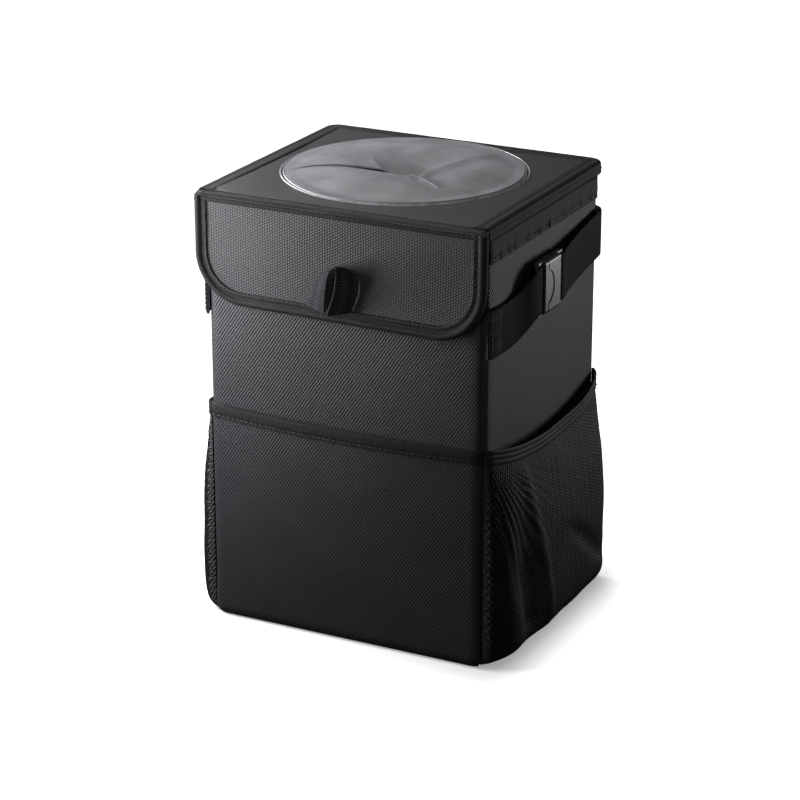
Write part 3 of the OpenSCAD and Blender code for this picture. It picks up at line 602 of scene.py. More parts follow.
def pocketOff(way, z):
    share = (way - (frontLeftAt + frontRightAt) / 2) / ((frontRightAt - frontLeftAt) / 2)
    return pocket["belly"] * (1 - share * share) * sin(pi / 2 * min(1, max(0, z) / pocket["high"]))


def pocketPoint(way, high, off=0.0):
    point, normal, share, z = skinAt(way, high, pocket["gap"] + pocket["cloth"] + off)
    soft = ease(z / 40)
    raised = wallBow(share, z) + pocketOff(way, z) - seamDip(way) * soft
    raised += pocket["wave"] * wobble((*point, z), 45, 3.0) * soft * (1 - share ** 4)
    return Vector((*(point + normal * raised), z))


def makeFrontPocket():
    lowest = -pocket["foot"] * footArc
    top = pocket["high"] - tub["baseR"] - 1.0
    start, end = frontLeftAt + pocket["inset"], frontRightAt - pocket["inset"]

    def flat(u, v):
        return start + (end - start) * u, lowest + (top - lowest) * v

    piece = clothGrid("frontPocket", 110, 70, lambda u, v: pocketPoint(*flat(u, v)), flat)
    finishPiece(piece, "shell_fabric", "tub", ["front_pocket"], pocket["cloth"])


def pocketTapePoint(u, v):
    # v runs up the tape's outer face, over the mouth and a little way down behind
    start, end = frontLeftAt + 0.5, frontRightAt - 0.5
    way = start + (end - start) * u
    face, over, off = pocket["tapeWide"], pocket["tapeOver"], pocket["tape"] + 0.1
    up = v * (face + over)
    if up >= face:
        t = (up - face) / over
        up, off = face + 0.5 * sin(pi * t), off - over * t
    z = pocket["high"] - face + up
    off -= pocket["stitchDeep"] * band(up - pocket["stitchUp"], pocket["stitchWide"])
    off += pocket["pucker"] * wobble((way, z * 0.4, 0), 3.0, 2.0) * (1 - v)
    off += pocket["tapePuff"] * sin(pi * min(1, up / face))
    return pocketPoint(way, z - tub["baseR"], off)


def makePocketBinding():
    piece = clothGrid("pocketBinding", 240, 14, pocketTapePoint, lambda u, v: (
        u * (frontRightAt - frontLeftAt), v * (pocket["tapeWide"] + pocket["tapeOver"])))
    finishPiece(piece, "binding_tape", "tub", ["front_pocket_binding"], pocket["tape"])


# Mesh pockets: gathered into the front and back seams and into the base, held by elastic at the mouth

meshPocket = {
    "high": 152.5, "sag": 10.0, "bulge": 17.0, "mouth": 7.0, "net": 1.0, "elasticWide": 10.0, "elastic": 2.0,
    "footZ": 2.2, "roundHigh": 21.0, "gap": 0.3, "seam": 0.6, "deep": 160.0, "elasticLong": 172, "cord": 0.4,
}
meshFolds = {  # in mm: how far each stands out, how wide it is, its pitch and its place
    "ridge": 1.84, "ridgeWide": 5, "ridgeFrom": 33, "ridgeDrift": 27,
    "hollow": 5.98, "hollowWide": 12, "hollowAhead": 8, "hollowDrift": 16,
    "dent": 2.3, "dentWide": 9, "dentY": 112, "dentDrop": 84, "dentSlope": 1.1,
    "fan": 0.55, "fanWide": 34, "fanTurns": 62, "upright": 0.1375, "uprightPitch": 7.5,
    "rope": 0.8, "ropePitch": 5.6, "ropeWide": 3.5, "wave": 1.2,
}
meshUv = {"wide": 196.0, "high": 158.0}  # the flat net, in mm


def meshWay(side, u):
    # u runs from the front seam to the back seam on both sides
    seam = meshPocket["seam"]
    if side == "right":
        return frontRightAt + seam + (backRightAt - frontRightAt - 2 * seam) * u
    return frontLeftAt - seam - (frontLeftAt - 2 * seam) * u


def mouthZ(u):
    share = 2 * u - 1
    return meshPocket["high"] - meshPocket["sag"] * (1 - share * share)


def meshSwell(z, top):
    m = meshPocket
    straightZ = m["footZ"] + m["roundHigh"]
    if z < straightZ:
        low = 1 - max(0, z - m["footZ"]) / m["roundHigh"]
        return m["bulge"] * sqrt(max(0, 1 - low ** 3))
    rise = min(1, (z - straightZ) / (top - straightZ))
    return m["mouth"] + (m["bulge"] - m["mouth"]) * cos(pi / 2 * rise ** 1.6)


def meshOff(u, z, top):
    m, f = meshPocket, meshFolds
    y, drop = u * m["deep"], top - z  # mm back from the front seam, and down from the mouth
    free = 1 - abs(2 * u - 1) ** (5 + 5 * ease(drop / 50))
    worked = ease((z - m["footZ"]) / m["roundHigh"]) * ease(drop / 12)
    # A ridge runs from the mouth's front end down to the foot, with a hollow in front of it
    ridgeAt = f["ridgeFrom"] + f["ridgeDrift"] * ease(drop / 130)
    hollowAt = ridgeAt - f["hollowAhead"] - f["hollowDrift"] * ease(drop / 100)
    fold = f["ridge"] * band(y - ridgeAt, f["ridgeWide"])
    fold -= f["hollow"] * ease(drop / 80) * band(y - hollowAt, f["hollowWide"])
    # A shorter dent slants down to the back seam
    dentAt = f["dentY"] + f["dentSlope"] * (drop - f["dentDrop"])
    fold -= f["dent"] * band(y - dentAt, f["dentWide"]) * ease((drop - 55) / 25) \
        * ease((128 - drop) / 20) * ease((154 - y) / 16)
    # Fine pleats that fan out from the mouth's front end
    turn = atan2(y + 1.0, drop + 8.0)
    pleat = sin(turn * f["fanTurns"] + 1.5 * wobble((y, z, 0), 30, 5.0))
    fold += f["fan"] * pleat * band(y - 6, f["fanWide"]) * ease((110 - drop) / 70)
    pleat = sin(2 * pi * y / f["uprightPitch"] + 2 * wobble((y, z, 2), 35))
    fold += f["upright"] * pleat * ease((y - 40) / 40)
    # Rope of chevron puckers along each seam
    seam = min(y, m["deep"] - y)
    chevron = sin(2 * pi * (z + 3.5 * abs(seam - 2)) / f["ropePitch"])
    rope = f["rope"] * chevron * band(seam - 3, f["ropeWide"]) * min(1, seam / 2)
    swell = meshSwell(z, top) + f["wave"] * wobble((y, z, 7), 30)
    return free * (swell + fold * worked) + rope * worked


def meshPoint(side, u, z, extra=0.0):
    top = mouthZ(u) - meshPocket["elasticWide"]
    r, gap = tub["baseR"], meshPocket["gap"]
    foot = gap if z >= r else sqrt(max(0, (r + gap) ** 2 - (r - z) ** 2)) - r
    point, normal, share = outline(meshWay(side, u), foot)
    point = point + normal * (meshOff(u, min(z, top), top) + wallBow(share, z) + extra)
    return Vector((*point, z))


def makeMeshPocket(side):
    m = meshPocket
    straightZ = m["footZ"] + m["roundHigh"]
    count = 230
    # Columns stand closer together at both seams, where the net turns outwards
    shares = [k / count - 0.65 * sin(2 * pi * k / count) / (2 * pi) for k in range(count + 1)]
    lengths = runLengths([meshPoint(side, share, 60, m["net"]) for share in shares])
    low = 0.2  # share of the rows that go round the foot

    def place(u, v):
        u = shares[round(u * count)]
        z = m["footZ"] + m["roundHigh"] * (v / low) ** 2
        if v >= low:
            z = straightZ + (mouthZ(u) - m["elasticWide"] - 0.1 - straightZ) * (v - low) / (1 - low)
        return meshPoint(side, u, z, m["net"])

    piece = clothGrid(side + "MeshPocket", count, 110, place, lambda u, v: (
        lengths[round(u * count)] / lengths[-1] * meshUv["wide"], v * meshUv["high"]), flip=side == "left")
    finishPiece(piece, "pocket_mesh", "tub", [side + "_mesh_pocket"], m["net"])


def makeElastic(side):
    m = meshPocket
    thick = m["elastic"] - 0.5

    def place(u, v):
        cords = m["cord"] * abs(sin(3 * pi * v)) ** 0.6 * ease(min(u, 1 - u) / 0.02)
        return meshPoint(side, u, mouthZ(u) - m["elasticWide"] * (1 - v), thick + cords)

    piece = clothGrid(side + "Elastic", 200, 24, place,
                      lambda u, v: (u * m["elasticLong"], v * m["elasticWide"]), side == "left")
    finishPiece(piece, "elastic_band", "tub", [side + "_mesh_elastic"], thick)


# Straps and buckle

strap = {
    "wide": 32.0, "thick": 1.5, "highZ": 250.0, "lowZ": 228.0, "barZ": 241.0, "slack": 8.6, "stand": 3.45,
    "tabZ": 228.5, "tabThick": 2.6, "tabOff": 2.3, "tabHalf": 14,
}


def ribbon(name, path, wide, thick, replaced, across=None, body="tub", steps=4, material=None):
    # Webbing along points in mm with rounded edges. Its width is upright, or follows the directions in across.
    points = smoothPath(path, steps)
    widths = smoothPath(across, steps) if across else [Vector((0, 0, 1))] * len(points)
    lengths = runLengths(points)
    count = len(points) - 1

    def place(u, v):
        i = round(u * count)
        ahead = points[min(count, i + 1)] - points[max(0, i - 1)]
        side = widths[i].normalized()
        # Flat oval: square across the width with round edges
        c, s = cos(2 * pi * v), sin(2 * pi * v)
        w = copysign(abs(c) ** 0.12, c) * wide / 2
        n = copysign(abs(s) ** 0.8, s) * thick / 2
        return points[i] + side * w + ahead.cross(side).normalized() * n

    def closeEnds(bm):
        bmesh.ops.holes_fill(bm, edges=[e for e in bm.edges if e.is_boundary])
        bmesh.ops.recalc_face_normals(bm, faces=bm.faces)

    piece = clothGrid(name, count, 20, place, mend=closeEnds, flat=lambda u, v: (
        lengths[round(u * count)], cos(2 * pi * min(v, 1 - v)) * wide / 2))
    finishPiece(piece, "strap_webbing", body, replaced, material=material, sharp=60)


def seamOf(side):
    # Where a side's front seam lies round the tub, and the direction that leads back from it
    return (frontRightAt, 1) if side == "right" else (frontLeftAt, -1)


def strapTab(side):
    # The strap's end is sewn down flat, from the corner seam back
    seam, sign = seamOf(side)
    path = []
    for back in (1.2, 4, 6.5, 9, 11.5, 14):
        off = strap["tabOff"] - 0.5 * band(back, 2.5)
        path.append((*outline(seam + sign * back, off)[0], strap["tabZ"]))
    ribbon(side + "StrapTab", path, strap["wide"], strap["tabThick"], [side + "_strap_tab"],
           material=tabWeb)


def makeStraps():
    low, high = boxOf("short_strap")
    lowZ, barZ, highZ, stand = strap["lowZ"], strap["barZ"], strap["highZ"], strap["stand"]
    barY = high.y - 2.45  # middle of the plug's bar
    wall, out = low.x + strap["thick"] / 2, high.x - strap["thick"] / 2
    path = [(wall, low.y - 1.5, lowZ), (wall + 0.4, -66, lowZ), (wall + 0.7, -58, lowZ + 0.4),
            (wall + 1.4, -50, lowZ + 1.8), (wall + 2.8, -43, lowZ + 4.6), (out - 1.2, -36, barZ - 4.4),
            (out - 0.2, -31, barZ - 1.7), (out, barY - 3, barZ - 0.4), (out, barY, barZ),
            (out - 1.1, barY + 1.9, barZ), (out - 3, barY + 2.45, barZ), (wall + 2.2, barY + 2, barZ),
            (wall + 1.2, barY, barZ), (wall + 1.1, barY - 5, barZ), (wall + 1.0, barY - 9, barZ - 0.4)]
    ribbon("shortStrap", path, strap["wide"], strap["thick"], ["short_strap"])

    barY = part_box("buckle_socket")[1].y / mm - 1.5  # middle of the socket's bar
    path = [(wall + 1.0, barY + 9, barZ + 0.4), (wall + 1.1, barY + 5, barZ), (wall + 1.2, barY, barZ),
            (wall + 2.2, barY - 2, barZ), (out - 3, barY - 2.45, barZ), (out - 1.1, barY - 1.9, barZ),
            (out, barY, barZ), (out - 0.1, barY + 4, barZ + 0.3)]
    toCorner = tub["halfWide"] + stand - out
    for t in (0.15, 0.3, 0.45, 0.6, 0.75, 0.9):
        path.append((out + toCorner * t - 1.2 * sin(pi * t), barY + (80 - barY) * t,
                     barZ + 0.3 + (highZ - barZ - 0.3) * t))
    corner = [tub["cornerR"] * radians(angle) for angle in (0, 22.5, 45, 67.5, 90)]
    path += [(*outline(backRightAt - arcLong / 2 + way, stand)[0], highZ) for way in corner]
    for t in range(1, 12):
        share = t / 6 - 1
        off = stand + strap["slack"] * cos(pi / 2 * share) ** 0.8
        point, _, share = outline(backRightAt + arcLong / 2 + (share + 1) * straightWide / 2, off)
        path.append((*point, highZ - 1.2 * (1 - share * share)))
    path += [(*outline(way - arcLong / 2, stand)[0], highZ) for way in corner]
    for y in (62, 44, 26, 8, -10, -28, -46, -60):
        path.append((-tub["halfWide"] - 1.6 - 0.9 * ease((y - 10) / 60), y,
                     highZ + (lowZ - highZ) * ease((75 - y) / 125)))
    path.append((-tub["halfWide"] - 1.85, low.y - 1.5, lowZ))
    ribbon("longStrap", path, strap["wide"], strap["thick"], ["long_strap"])
    strapTab("right")
    strapTab("left")


# Lid: board in cloth, with a tape folded round three sides and the flap sewn to the fourth

lidLow, lidHigh = boxOf("lid_binding")
ringLow, ringHigh = boxOf("opening_ring")
ringAt = Vector(((ringLow.x + ringHigh.x) / 2, (ringLow.y + ringHigh.y) / 2))
ringR = (ringHigh.x - ringLow.x) / 2
lid = {
    "halfWide": lidHigh.x,
    "front": -lidLow.y,
    "back": lidHigh.y,
    "cornerR": 9.0,
    "coverZ": 297.35,
    "liningZ": 291.3,
    "inset": 1.0,
    "cloth": 0.9,
    "film": 0.7,
    "tape": 0.8,
    "holeR": 71.6,
    "puff": 0.7,
    "liningPuff": -0.2,
    "pucker": 0.28,
    "stitchZ": 298.35,
}
lidSide = lid["front"] + lid["back"] - lid["cornerR"]
lidWay = 2 * lidSide + lid["cornerR"] * pi + 2 * (lid["halfWide"] - lid["cornerR"])


def lidEdge(d):
    # Point and outward normal of the lid's edge, from its front left corner by the back to the front right one
    r, x, side = lid["cornerR"], lid["halfWide"], lidSide
    arc, wide = r * pi / 2, 2 * (x - r)
    if d < side:
        return Vector((-x, d - lid["front"])), Vector((-1, 0))
    if d < side + arc:
        turn = (d - side) / r
        normal = Vector((-cos(turn), sin(turn)))
        return Vector((r - x, lid["back"] - r)) + normal * r, normal
    if d < side + arc + wide:
        return Vector((r - x + d - side - arc, lid["back"])), Vector((0, 1))
    if d < side + 2 * arc + wide:
        turn = (d - side - arc - wide) / r
        normal = Vector((sin(turn), cos(turn)))
        return Vector((x - r, lid["back"] - r)) + normal * r, normal
    return Vector((x, lid["back"] - r - (d - side - 2 * arc - wide))), Vector((1, 0))


# Distance in from the edge and height, over the tape's top face, round its fold and back below
lidProfile = smoothPath([(11, 297.75, 0), (10.2, 298.2, 0), (7.5, 298.3, 0), (5.2, 298.05, 0), (3.2, 298.3, 0),
                         (1.3, 298.1, 0), (0.3, 297.2, 0), (0.35, 295.6, 0), (-0.1, 294.3, 0), (0.2, 292.6, 0),
                         (0.1, 291.4, 0), (0.9, 290.6, 0), (3, 290.4, 0), (11, 290.5, 0)], 3)


def makeLidBinding():
    lengths = runLengths(lidProfile)
    last = len(lidProfile) - 1

    def place(u, v):
        edge, normal = lidEdge(u * lidWay)
        inset, z, _ = lidProfile[round(v * last)]
        if z > 294 or inset > 3:
            # The ring comes close to the tape at the back
            inset = min(inset, max(1.0, (ringAt - edge).length - ringR - 0.3))
        pucker = lid["pucker"] * wobble((*edge, z * 0.3), 2.6, 6.0) * (0.4 + 0.6 * band(z - 294, 3))
        pucker += 0.2 * wobble((*edge, z), 14, 2.0)
        if z > 297.5:
            z += pucker * 0.5
            pucker = 0
        return *(edge - normal * (inset - pucker)), z

    piece = clothGrid("lidBinding", 420, last, place,
                      lambda u, v: (u * lidWay, lengths[round(v * last)]), flip=True)
    finishPiece(piece, "binding_tape", "lid", ["lid_binding"], lid["tape"])


def lidReach(angle, inset):
    # Direction at an angle from the ring's centre, and distance to the lid's edge, drawn in by an inset
    along = Vector((cos(angle), sin(angle)))
    x, r = lid["halfWide"] - inset, lid["cornerR"] - inset / 2
    y = lid["back"] - inset if along.y > 0 else -lid["front"]
    far = min((copysign(x, along.x) - ringAt.x) / along.x, (y - ringAt.y) / along.y)
    corner = Vector((x - r, lid["back"] - inset - r))
    while True:
        point = ringAt + along * far
        past = Vector((abs(point.x), point.y)) - corner
        if min(past) <= 0 or past.length <= r:
            return along, far
        far -= 0.1  # in to the round of a back corner


def lidSheet(name, z, puff, flip, slot, replaced, wall):
    def place(u, v):
        along, far = lidReach(2 * pi * u + 0.0001, lid["inset"])
        distance = lid["holeR"] + (far - lid["holeR"]) * v
        point = ringAt + along * distance
        height = puff * (0.4 + wobble((*point, z), 60))
        return *point, z + height * ease((distance - 82) / 10) * ease((far - distance) / 6)

    piece = clothGrid(name, 240, 20, place, lambda u, v: place(u, v)[:2], flip)
    finishPiece(piece, slot, "lid", [replaced], wall)


lidRoll = {"past": 0.6, "wide": 206, "run": 22, "cut": 19, "wave": 0.2, "tape": 0.7}


def makeLidFront():
    # Cloth rolled over the lid's front edge and sewn down onto the flap
    profile = smoothPath([(0, -80, 297.3), (0, -83, 297.75), (0, -86.5, 298.0), (0, -90, 297.8),
                          (0, -92.6, 297.0), (0, -94.6, 295.6), (0, -95.6, 293.9), (0, -95.5, 292.6),
                          (0, -94.6, 291.7)], 4)
    last = len(profile) - 1

    def place(u, v):
        _, y, z = profile[round(v * last)]
        x = (lid["halfWide"] + lidRoll["past"]) * (2 * u - 1)
        wave = lidRoll["wave"] * wobble((x, y, z), 30, 8.0) * ease((-y - 86) / 4)
        return x, y - wave, z + wave * 0.6 - 0.6 * ease((abs(x) - 99) / 4)

    piece = clothGrid("lidFrontRoll", 200, last, place,
                      lambda u, v: (u * lidRoll["wide"], v * lidRoll["run"]), flip=True)
    finishPiece(piece, "binding_tape", "lid", wall=lidRoll["tape"], blended={  # start and end in metres
        "bodies": ("lid", "flap"), "start": (0, -0.0915, 0.2972), "end": (0, -0.0948, 0.2945)})


hinge = {"lowZ": 276.0, "tall": 19.5, "wide": 184, "y": 90.75, "tape": 0.5}


def makeLidHinge():
    # Tape sewn to the tub's back and to the lid's back edge
    def place(u, v):
        x = (tub["halfWide"] - tub["cornerR"]) * (2 * u - 1)
        z = hinge["lowZ"] + hinge["tall"] * v
        return x, hinge["y"] + 0.15 * wobble((x, z, 0), 18) + 0.3 * sin(pi * v), z

    piece = clothGrid("lidHinge", 120, 20, place, lambda u, v: (u * hinge["wide"], v * hinge["tall"]))
    finishPiece(piece, "binding_tape", "lid", ["lid_hinge_tape"], hinge["tape"], blended={
        "bodies": ("tub", "lid"), "start": (0, 0.0905, 0.2885), "end": (0, 0.0905, 0.2925)})


# Ring and leaves

ring = {"z": 297.4, "wall": 0.5, "round": 515, "run": 8}


def makeRing():
    # Distance in from the ring's edge and height: two beads with a groove between them
    profile = smoothPath([(0, 0, 0), (0.05, 0.8, 0), (0.35, 1.35, 0), (0.8, 1.35, 0), (1.1, 0.8, 0),
                          (1.3, 0.25, 0), (1.9, 0.2, 0), (2.15, 0.9, 0), (2.45, 1.7, 0), (2.9, 1.8, 0),
                          (3.3, 1.4, 0), (3.4, 0.6, 0), (3.4, 0, 0)], 3)
    last = len(profile) - 1

    def place(u, v):
        inset, up, _ = profile[round(v * last)]
        r, turn = ringR - inset, 2 * pi * u
        return ringAt.x + r * cos(turn), ringAt.y + r * sin(turn), ring["z"] + up

    piece = clothGrid("openingRing", 256, last, place, lambda u, v: (u * ring["round"], v * ring["run"]))
    finishPiece(piece, "ring_plastic", "lid", ["opening_ring"], ring["wall"], sharp=60)


leaves = {
    "meetX": 15.5, "meetY": -14.5,  # from the ring's centre
    "clampR": 78.4, "clamp": 7.0, "thick": 1.2, "dome": 2.4, "z": 297.4,
    "creaseFrom": 25.0, "creaseTurn": 129.0, "fall": 60.0, "funnel": 16.5,
    "bend": 16, "bendAt": 180, "wave": 0.5,  # the left slit bends towards the rim, by so many degrees
}


def rimReach(a):
    along = leaves["meetX"] * cos(a) + leaves["meetY"] * sin(a)
    off = leaves["meetX"] * sin(a) - leaves["meetY"] * cos(a)
    return sqrt(leaves["clampR"] ** 2 - off * off) - along


def leafHeight(a, q, sink):
    edge = leaves["clamp"] / rimReach(a)
    inward = max(0, 1 - q - edge) / (1 - edge)
    return leaves["dome"] * sin(radians(min(90, 200 * inward))) - sink * ease(inward * 1.05) * inward


def makeLeaf(name, node, start, end, depth, edges):
    # Each edge says how far it reaches over its neighbour and lifts there, in mm, and at which share of the way
    # to the rim the slit ends
    def place(u, v):
        a = start + (end - start) * u
        q = 0.02 + 0.98 * v
        bent = radians(a + leaves["bend"] * q ** 3 * band(a - leaves["bendAt"], 20))
        d = q * rimReach(bent)
        c, s = cos(bent), sin(bent)
        aside, up = 0.0, leafHeight(bent, q, depth(d * c, d * s)) + leaves["thick"]
        for edge, away, sign in zip(edges, (u, 1 - u), (1, -1)):
            near = band(away * radians(end - start) * d, 5.5)
            apart = ease(q / 0.1) * max(0, 1 - q / edge["until"]) ** 0.6
            aside -= sign * near * (0.1 + edge["reach"] * apart)
            up += near * edge["lift"] * apart
        x = ringAt.x + leaves["meetX"] + d * c - aside * s
        y = ringAt.y + leaves["meetY"] + d * s + aside * c
        up += leaves["wave"] * wobble((x, y, 0), 30, 11.0) * ease((1 - q) / 0.3)
        return x, y, leaves["z"] + up

    piece = clothGrid(name, 120, 80, place, lambda u, v: place(u, v)[:2])
    finishPiece(piece, "leaf_rubber", "lid", [node], leaves["thick"], sharp=50)


def backSink(x, y):
    # A crease runs across the back leaf, from a point of the slit left of where the leaves meet. Left of it
    # the leaf lies level, right of it it drops to a funnel. x and y are measured from where the leaves meet.
    crease = radians(leaves["creaseTurn"])
    past = (x + leaves["creaseFrom"]) * sin(crease) - y * cos(crease)
    return 0.6 + leaves["funnel"] * min(1, max(0, past) / leaves["fall"]) ** 0.6


def makeLeaves():
    # From and to which angle each leaf goes, counted from the right, and how far it sinks
    makeLeaf("frontLeaf", "front_leaf", 180, 320, lambda x, y: 0.4, [
        {"reach": -3.0, "lift": -1.0, "until": 0.95}, {"reach": -2.0, "lift": -1.6, "until": 0.62}])
    makeLeaf("rightLeaf", "right_leaf", -40, 72, lambda x, y: 3.0, [
        {"reach": 1.2, "lift": 2.6, "until": 0.62}, {"reach": 1.6, "lift": 1.6, "until": 0.92}])
    makeLeaf("backLeaf", "back_leaf", 72, 180, backSink, [
        {"reach": -0.5, "lift": -0.9, "until": 0.95}, {"reach": -1.0, "lift": 0.7, "until": 0.95}])


# Stitches: one small spindle of thread each, sunk a little into the cloth

stitch = {"long": 2.6, "thick": 0.5}


def stitchRow(name, count, spot, body):
    # spot(t) gives a point of the cloth's face in mm, or None where there is no stitch
    bm = bmesh.new()
    for k in range(count):
        middle = spot((k + 0.5) / count)
        ahead = spot(min(1, (k + 0.75) / count))
        if middle is None or ahead is None:
            continue
        middle, ahead = Vector(middle), Vector(ahead)
        along = (ahead - middle).normalized()
        turn = along.to_track_quat("Z", "Y").to_matrix().to_4x4()
        made = bmesh.ops.create_cone(bm, segments=6, radius1=stitch["thick"] / 2, radius2=stitch["thick"] / 2,
                                     depth=stitch["long"] * 0.7,
                                     matrix=Matrix.Translation(middle) @ turn)["verts"]
        for sign in (-1, 1):
            tip = bm.verts.new(middle + along * sign * stitch["long"] / 2)
            end = [v for v in made if (v.co - middle).dot(along) * sign > 0]
            end.sort(key=lambda v: atan2(*[(turn.inverted() @ (v.co - middle))[i] for i in (1, 0)]))
            for a, b in zip(end, end[1:] + end[:1]):
                bm.faces.new((a, b, tip) if sign > 0 else (b, a, tip))
    for vert in bm.verts:
        vert.co *= mm
    finishPiece(addPiece(name, bm), "binding_tape", body, material=thread)


def makeTubStitches():
    def onRim(t):
        way = t * wholeWay
        return rimPoint(way, rim["stitchUp"] / rimTape) + Vector((*outline(way)[1], 0)) * 0.1

    def onPocket(t):
        stitchV = pocket["stitchUp"] / (pocket["tapeWide"] + pocket["tapeOver"])
        return pocketTapePoint(0.01 + 0.98 * t, stitchV) - Vector((0, 0.1, 0))

    stitchRow("rimStitches", 190, onRim, "tub")
    stitchRow("pocketStitches", 52, onPocket, "tub")
    for side in ("right", "left"):
        def onElastic(t):
            u, m = 0.02 + 0.96 * t, meshPocket
            return meshPoint(side, u, mouthZ(u) - m["elasticWide"] + 1.2, m["elastic"] + 0.05)

        stitchRow(side + "ElasticStitches", 44, onElastic, "tub")
        seam, sign = seamOf(side)
        for row, back in (("Front", 3.4), ("Back", 12.2)):
            point = outline(seam + sign * back, strap["tabOff"] + strap["tabThick"] / 2)[0]
            stitchRow(side + "TabStitches" + row, 9,
                      lambda t: (*point, strap["tabZ"] + strap["tabHalf"] * (2 * t - 1)), "tub")


def makeLidStitches():
    def row(inset, least):
        def onBinding(t):
            edge, normal = lidEdge((0.03 + 0.94 * t) * lidWay)
            free = min(inset, (ringAt - edge).length - ringR - 1.2)
            return None if free < least else (*(edge - normal * free), lid["stitchZ"])
        return onBinding

    for place, inset, least in (("Outer", 2.4, 1.6), ("Middle", 5.2, 5.0), ("Inner", 9.4, 6.5)):
        stitchRow("lid" + place + "Stitches", 150, row(inset, least), "lid")
    stitchRow("lidFrontStitches", 50, lambda t: (-98 + 196 * t, -83, lid["stitchZ"] - 0.4), "lid")


def makeFlapStitches():
    def onBinding(t):
        edge, inward = flapEdge((0.03 + 0.94 * t) * flapWay)
        return flapPoint(*(edge + inward * flap["stitchIn"]), flap["stitchOff"])

    stitchRow("flapStitches", 96, onBinding, "flap")


# Closure patches: hook tape on the flap's inside, loop tape on the front wall, with rounded corners

patch = {"cornerR": 2.0, "pile": 0.15, "wall": 0.8}


def makePatch(name, node, outward, body):
    low, high = boxOf(node)
    middle, wide, tall, r = (low + high) / 2, high.x - low.x, high.z - low.z, patch["cornerR"]
    y = low.y if outward < 0 else high.y

    def place(u, v):
        x, z = (u - 0.5) * wide, (v - 0.5) * tall
        past = Vector((abs(x) - (wide / 2 - r), abs(z) - (tall / 2 - r)))
        if min(past) > 0 and past.length > r:
            past = past.normalized() * r
            x, z = copysign(wide / 2 - r + past.x, x), copysign(tall / 2 - r + past.y, z)
        edge = min(wide / 2 - abs(x), tall / 2 - abs(z))
        nap = patch["pile"] * wobble((x, z, 0), 0.9, 3.0) * ease(edge / 0.6) - 0.35 * (1 - ease(edge / 1.2))
        return middle.x + x, y + outward * nap, middle.z + z

    piece = clothGrid(name, 130, 40, place, lambda u, v: (u * wide, v * tall), flip=outward > 0)
    finishPiece(piece, "hook_and_loop", body, [node], patch["wall"])


# Flap

flapLow, flapHigh = boxOf("flap_binding")
flap = {
    "halfWide": flapHigh.x,
    "topZ": flapHigh.z,
    "lowZ": flapLow.z,
    "inner": 91.25,
    "cornerR": 34.0,
    "flare": 4.0,
    "inset": 1.5,
    "panelOff": 3.65,
    "cloth": 0.9,
    "film": 0.7,
    "tape": 0.7,
    "rib": 0.2,
    "ribPitch": 2.9,
    "stitchIn": 8.4,
    "stitchOff": 4.75,
}
flapSide = flap["topZ"] - flap["lowZ"] - flap["cornerR"]
flapWay = 2 * flapSide + flap["cornerR"] * pi + 2 * (flap["halfWide"] - flap["cornerR"])


def flapPoint(x, z, off):
    down = (flap["topZ"] - z) / (flap["topZ"] - flap["lowZ"])
    side = (x / flap["halfWide"] + 1) / 2
    curl = flap["flare"] * max(0, side) ** 1.5 * down * down
    wave = 0.5 * wobble((x, z, 3), 48, 6.0) * ease(down * 3)
    return Vector((x, -(flap["inner"] + off + curl + wave), z))


def flapBottom(u, inset):
    # The flap's outline from the left side over the two bottom corners to the right side
    x, r, z = flap["halfWide"] - inset, flap["cornerR"] - inset, flap["lowZ"] + inset
    if u > 0.5:
        x, z = flapBottom(1 - u, inset)
        return -x, z
    if u < 0.2:
        turn = pi / 2 * (1 - u / 0.2)
        return r - x - r * sin(turn), z + r - r * cos(turn)
    return r - x + 2 * (x - r) * (u - 0.2) / 0.6, z


def makeFlapLayer(name, off, flip, slot, replaced, wall):
    def flat(u, v):
        x, z = flapBottom(u, flap["inset"])
        return x, z + (flap["topZ"] - z) * v

    piece = clothGrid(name, 110, 46, lambda u, v: flapPoint(*flat(u, v), off), flat, flip)
    finishPiece(piece, slot, "flap", [replaced], wall)


def flapEdge(d):
    # Point of the flap's edge as (x, z) and its inward direction, from the top left by the bottom to the right
    r, x, side, low = flap["cornerR"], flap["halfWide"], flapSide, flap["lowZ"]
    arc, wide = r * pi / 2, 2 * (x - r)
    if d < side:
        return Vector((-x, flap["topZ"] - d)), Vector((1, 0))
    if d < side + arc:
        turn = (d - side) / r
        inward = Vector((cos(turn), sin(turn)))
        return Vector((r - x, low + r)) - inward * r, inward
    if d < side + arc + wide:
        return Vector((r - x + d - side - arc, low)), Vector((0, 1))
    if d < side + 2 * arc + wide:
        turn = (d - side - arc - wide) / r
        inward = Vector((-sin(turn), cos(turn)))
        return Vector((x - r, low + r)) - inward * r, inward
    return Vector((x, low + r + d - side - 2 * arc - wide)), Vector((-1, 0))


# Distance in from the edge, distance off the flap's inner face
flapProfile = smoothPath([(9.5, 3.7, 0), (9.1, 4.3, 0), (7.8, 4.5, 0), (6.4, 4.3, 0), (5.6, 4.25, 0),
                          (4.9, 4.7, 0), (3.9, 5.5, 0), (2.5, 5.7, 0), (1.0, 4.9, 0), (0, 3.2, 0),
                          (0.1, 1.2, 0), (0.9, -0.2, 0), (2.6, -0.75, 0), (6, -0.85, 0), (9.5, -0.8, 0)], 3)


